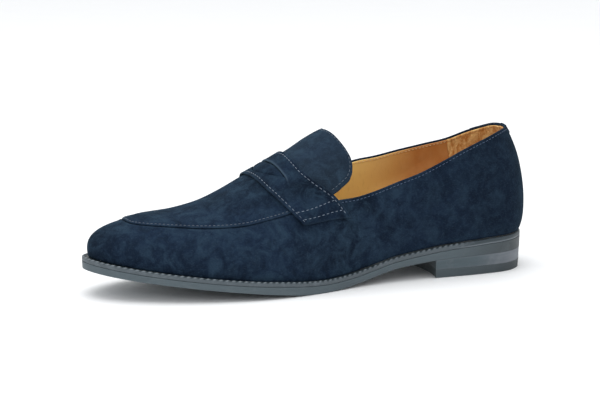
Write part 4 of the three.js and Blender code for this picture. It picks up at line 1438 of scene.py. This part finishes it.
def welt_piece():
    """The welt: a ring with a row of slanted wheel marks on its ledge, plain round the heel. The mark tops
    and a thin line low on the side round the heel carry painted highlights.
    """
    turns = np.linspace(0, 1, WELT_MARK_COUNT * MARK_SAMPLES, endpoint=False)
    marked = smoothstep(sole_edge(turns, 0)[1], 44, 62)
    ledge = welt_ledge(sole_edge(turns, 0)[1])
    rows, shades = [], []

    def add(inset, share, lift=0.0, shade=0.0):
        """One ring, a share of the way up from the outsole to the ledge and lifted from there."""
        across, station = sole_edge(turns, inset)
        bottom = sole_top_at(station) + 0.04
        height = lerp(bottom, welt_top_at(station) - WELT_DROP, share) + lift
        rows.append(np.stack([across, station, height], -1))
        shades.append(shade)

    for inset, share in WELT_SIDE:
        # Round the heel, a thin painted highlight line low on the side.
        painted_highlight_line = hump(share, 0.1, 0.2)
        add(inset, share, shade=lerp(painted_highlight_line, 0.3, marked))
    for step in WELT_TOP_STEPS:
        slant = MARK_SLANT * (step - 1.2) * WELT_MARK_COUNT / PERIMETER
        wave = np.abs(np.sin(np.pi * (turns * WELT_MARK_COUNT + slant)))
        bump = MARK_HEIGHT * wave**0.6 * hump(step, 1.05, 0.95) * marked
        bead = 0.6 * hump(step, 1.2, 1.0) * (1 - marked)
        # A painted highlight on the top of each wheel mark.
        light = wave**2 * hump(step, 0.75, 0.75) * marked
        under = (WELT_DROP - 0.02) * smoothstep(step, ledge - 1.0, ledge - 0.1)
        add(step, 1, np.maximum(bump + bead, under), np.clip(0.1 * (1 - marked) + 0.95 * light, 0, 1))
    add(WELT_WIDTH, 1)
    add(WELT_WIDTH, 0)
    add(4.0, 0)
    return ring_piece("welt_rubber", rows, WELT_LOOK, shades, closed=True)


def heel_loop(inset, pull, count=150, breast_count=40):
    """The outline of a heel layer: round the back, then across its hollow breast."""
    front = HEEL_BREAST - pull

    def edge(turn):
        return sole_edge(turn, inset)

    inner, outer = turn_at(front, False, edge) - 1, turn_at(front, True, edge)
    across, station = sole_edge(np.linspace(inner, outer, count), inset)
    t = np.linspace(1, -1, breast_count)[1:-1]
    half, centre = (across[-1] - across[0]) / 2, (across[-1] + across[0]) / 2
    return (
        np.concatenate([across, centre + half * t]),
        np.concatenate([station, front - BREAST_CURVE * (1 - t**2)]),
    )


HEEL_CENTRE = (0, 36)


def heel_layer(name, levels, material, wear_and_painted_light):
    """A heel lift from its top to its bottom. Each level is (inset, height from stations)."""
    rings = []
    for inset, height in levels:
        across, station = heel_loop(inset, inset * 0.5)
        rings.append(np.stack([across, station, height(station)], -1))

    def drawn_in(ring, height, share):
        across = lerp(ring[:, 0], HEEL_CENTRE[0], share)
        station = lerp(ring[:, 1], HEEL_CENTRE[1], share)
        return np.stack([across, station, height(station)], -1)

    shares = (1.0, 0.75, 0.5, 0.25, 0.1)
    top = [drawn_in(rings[0], levels[0][1], share) for share in shares]
    bottom = [drawn_in(rings[-1], levels[-1][1], share) for share in reversed(shares)]
    unworn = [0.0] * len(shares)
    return ring_piece(name, top + rings + bottom, material, unworn + wear_and_painted_light + unworn)


def lift_levels(top, bottom, top_inset, bottom_inset, corner, hollow):
    """The side of a heel lift with eased corners, a little hollow between them."""
    arc = corner_arc(0, 30, 60, 90)
    upper, lower = raised(top, -corner), raised(bottom, corner)
    levels = [(top_inset + corner * down, raised(top, -corner * across)) for across, down in arc]
    for share in (0.2, 0.4, 0.6, 0.8):
        inset = lerp(top_inset, bottom_inset, share) + hollow * math.sin(math.pi * share)
        levels.append((inset, between(upper, lower, share)))
    levels += [(bottom_inset + corner * across, raised(bottom, corner * down)) for across, down in arc]
    return levels


# The wear of each level of a lift, from its top corner to its bottom corner
LIFT_WEAR = [0.2, 0.5, 0.5, 0.2, 0, 0, 0, 0, 0.2, 0.4, 0.4, 0.2]


def heel_pieces():
    """The heel block and the top piece under it, each with its material slot and CAD node."""
    def flat(height):
        return lambda station: np.full(np.shape(station), float(height))

    block = lift_levels(raised(tread_at, -0.04), flat(TOP_PIECE + 0.04), 0.3, 0.6, 0.12, 0.1)
    top_piece = lift_levels(flat(TOP_PIECE), flat(0), 0.6, 1.0, 0.14, 0.0)
    return [
        (heel_layer("heel_block_rubber", block, HEEL_LOOK, LIFT_WEAR), "sole_rubber", "heel_block"),
        (heel_layer("heel_top_piece_rubber", top_piece, TOP_PIECE_LOOK, LIFT_WEAR),
         "heel_rubber", "heel_top_piece"),
    ]


PAD_END = 78


def pad_rise(station):
    return 1.9 * (1 - smoothstep(station, PAD_END + 1, PAD_END + 14))


def sock_piece():
    """The sock lining: thin leather that lies on the insole board and over the heel pad."""
    def bottom(station):
        return insole_top_at(station) + GAP + pad_rise(station)

    levels = edge_levels(raised(bottom, SOCK), bottom, 9.2, 7, corner=0.4)
    return slab_piece("sock_leather", matched_turns(200), levels, LINING_LOOK)


PAD_STEPS = 60
PAD_CENTRE = 45
PAD_HALF_ACROSS = 18.5
PAD_HALF_LENGTH = 31
PAD_PROFILE = (
    (0, 1.6), (0.4, 1.55), (0.75, 1.4), (0.92, 1.1), (1, 0.6), (0.93, 0.1), (0.6, 0), (0, 0),
)


def heel_pad_piece():
    """A thin crowned foam pad under the heel of the sock lining."""
    angle = np.linspace(0, 2 * np.pi, 2 * PAD_STEPS, endpoint=False)
    rings = []
    for share, lift in PAD_PROFILE:
        across = PAD_HALF_ACROSS * share * np.cos(angle)
        station = PAD_CENTRE + PAD_HALF_LENGTH * share * np.sin(angle)
        rings.append(np.stack([across, station, insole_top_at(station) + GAP + lift], -1))
    return ring_piece("heel_pad_foam", rings, FOAM_LOOK)


# ------------------------------------------------------------------ putting the shoe together


def attach(made):
    """Pieces of the shoe, each with its material slot, which is not used, and the CAD node that it stands
    for.
    """
    for piece, slot, node in made:
        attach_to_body(piece, "shoe")
        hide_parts(node)


def bend_with_tongue(piece):
    """The tongue is held under the strap; this only bakes the piece's transform into its mesh and bends
    nothing.
    """
    height = float(crown(160, 0)[2])
    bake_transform(piece)


def build_upper():
    attach((
        (vamp_piece(), "suede", "vamp"),
        (apron_piece(), "suede", "apron"),
        (strap_piece(), "suede", "saddle_strap"),
        (heel_tab_piece(), "suede", "heel_tab"),
        (apron_lining_piece(), "smooth_lining", "apron_lining"),
        *lining_pieces(),
    ))
    for piece, slot, node in (
        (tongue_piece(), "suede", "tongue"),
        (tongue_lining_piece(), "smooth_lining", "tongue_lining"),
    ):
        bend_with_tongue(piece)
        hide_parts(node)


def build_bottom():
    attach((
        (outsole_piece(), "sole_rubber", "outsole"),
        (welt_piece(), "sole_rubber", "welt"),
        (sock_piece(), "smooth_lining", "sock_lining"),
        *heel_pieces(),
    ))
    pad = heel_pad_piece()
    attach([(pad, "foam", "heel_pad")])


def build_sewing():
    *shoe_rows, tongue_row = stitched_rows()
    for row in shoe_rows:
        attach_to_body(row, "shoe")
    bend_with_tongue(tongue_row)


HIDDEN_LOOKS = {
    "insole_board": BOARD_LOOK,
    "cork_filler": CORK_LOOK,
    "heel_counter": STIFFENER_LOOK,
    "toe_puff": STIFFENER_LOOK,
    "shank": STEEL_LOOK,
}


def dress_hidden_nodes():
    """CAD nodes that stay as they are inside the shoe take their own materials."""
    looks = dict(HIDDEN_LOOKS)
    looks.update({name: STEEL_LOOK for name in frame["nodes"] if name.startswith("heel_nail_")})
    for name, look in looks.items():
        node = frame["nodes"][name]
        for slot in node.material_slots:
            slot.material = look
        if not node.material_slots:
            node.data.materials.append(look)


# ------------------------------------------------------------------ studio

AIM = (0, 155.7, 51.9)
CAMERA_AZIMUTH = math.radians(67.6)
CAMERA_HEIGHT_ANGLE = math.radians(10)
CAMERA_DISTANCE = 1.32
CAMERA_LENS = 122.75
CAMERA_SENSOR = 36


def point_at(item, target):
    from_target = item.location - target
    item.rotation_euler = from_target.to_track_quat("Z", "Y").to_euler()


def add_camera():
    target = Vector(place(AIM))
    data = bpy.data.cameras.new("camera")
    data.lens = CAMERA_LENS
    data.sensor_width = CAMERA_SENSOR
    data.clip_end = 60
    camera = add_object("camera", data)
    flat = math.cos(CAMERA_HEIGHT_ANGLE)
    camera.location = (
        target.x + CAMERA_DISTANCE * math.sin(CAMERA_AZIMUTH) * flat,
        target.y - CAMERA_DISTANCE * math.cos(CAMERA_AZIMUTH) * flat,
        target.z + CAMERA_DISTANCE * math.sin(CAMERA_HEIGHT_ANGLE),
    )
    point_at(camera, target)
    bpy.context.scene.camera = camera
    return target


def add_light(name, location, size, power, colour, target):
    data = bpy.data.lights.new(name, "AREA")
    data.shape = "RECTANGLE"
    data.size, data.size_y = size
    data.energy = power
    data.color = colour
    light = add_object(name, data)
    light.location = location
    point_at(light, target)


FLOOR_HALF = 14.0


def add_floor():
    mesh = bpy.data.meshes.new("floor")
    h = FLOOR_HALF
    mesh.from_pydata([(-h, -h, 0), (h, -h, 0), (h, h, 0), (-h, h, 0)], [], [(0, 1, 2, 3)])
    s = Shader("pale_floor")
    clouds = s.noise(60, detail=2)
    colour = s.mix(clouds, (0.86, 0.865, 0.87), (0.88, 0.885, 0.89))
    mesh.materials.append(s.finish(clouds, 0.02, Base_Color=colour, Roughness=0.6, Specular_IOR_Level=0.2))
    floor = add_object("floor", mesh)


def softbox_world():
    """Even studio light, stronger from above than from the sides."""
    world = bpy.data.worlds.new("studio")
    world.use_nodes = True
    nodes, links = world.node_tree.nodes, world.node_tree.links
    background = nodes["Background"]
    background.inputs["Color"].default_value = (0.98, 0.99, 1.0, 1)
    way = nodes.new("ShaderNodeTexCoord")
    split = nodes.new("ShaderNodeSeparateXYZ")
    strength = nodes.new("ShaderNodeMapRange")
    for socket, value in (("From Min", 0.0), ("From Max", 0.6), ("To Min", 0.82), ("To Max", 1.1)):
        strength.inputs[socket].default_value = value
    links.new(way.outputs["Generated"], split.inputs[0])
    links.new(split.outputs["Z"], strength.inputs["Value"])
    links.new(strength.outputs[0], background.inputs["Strength"])
    return world


def build_studio():
    target = add_camera()
    add_floor()
    add_light("overhead", (-0.15, -0.25, 1.5), (1.5, 1.2), 13, (1.0, 1.0, 1.0), target)
    add_light("camera_side", (1.5, -0.9, 0.9), (1.0, 0.8), 5, (0.97, 0.985, 1.0), target)
    bpy.context.scene.world = softbox_world()
    bpy.context.scene.view_settings.view_transform = "Standard"


build_studio()
build_upper()
build_bottom()
build_sewing()
dress_hidden_nodes()
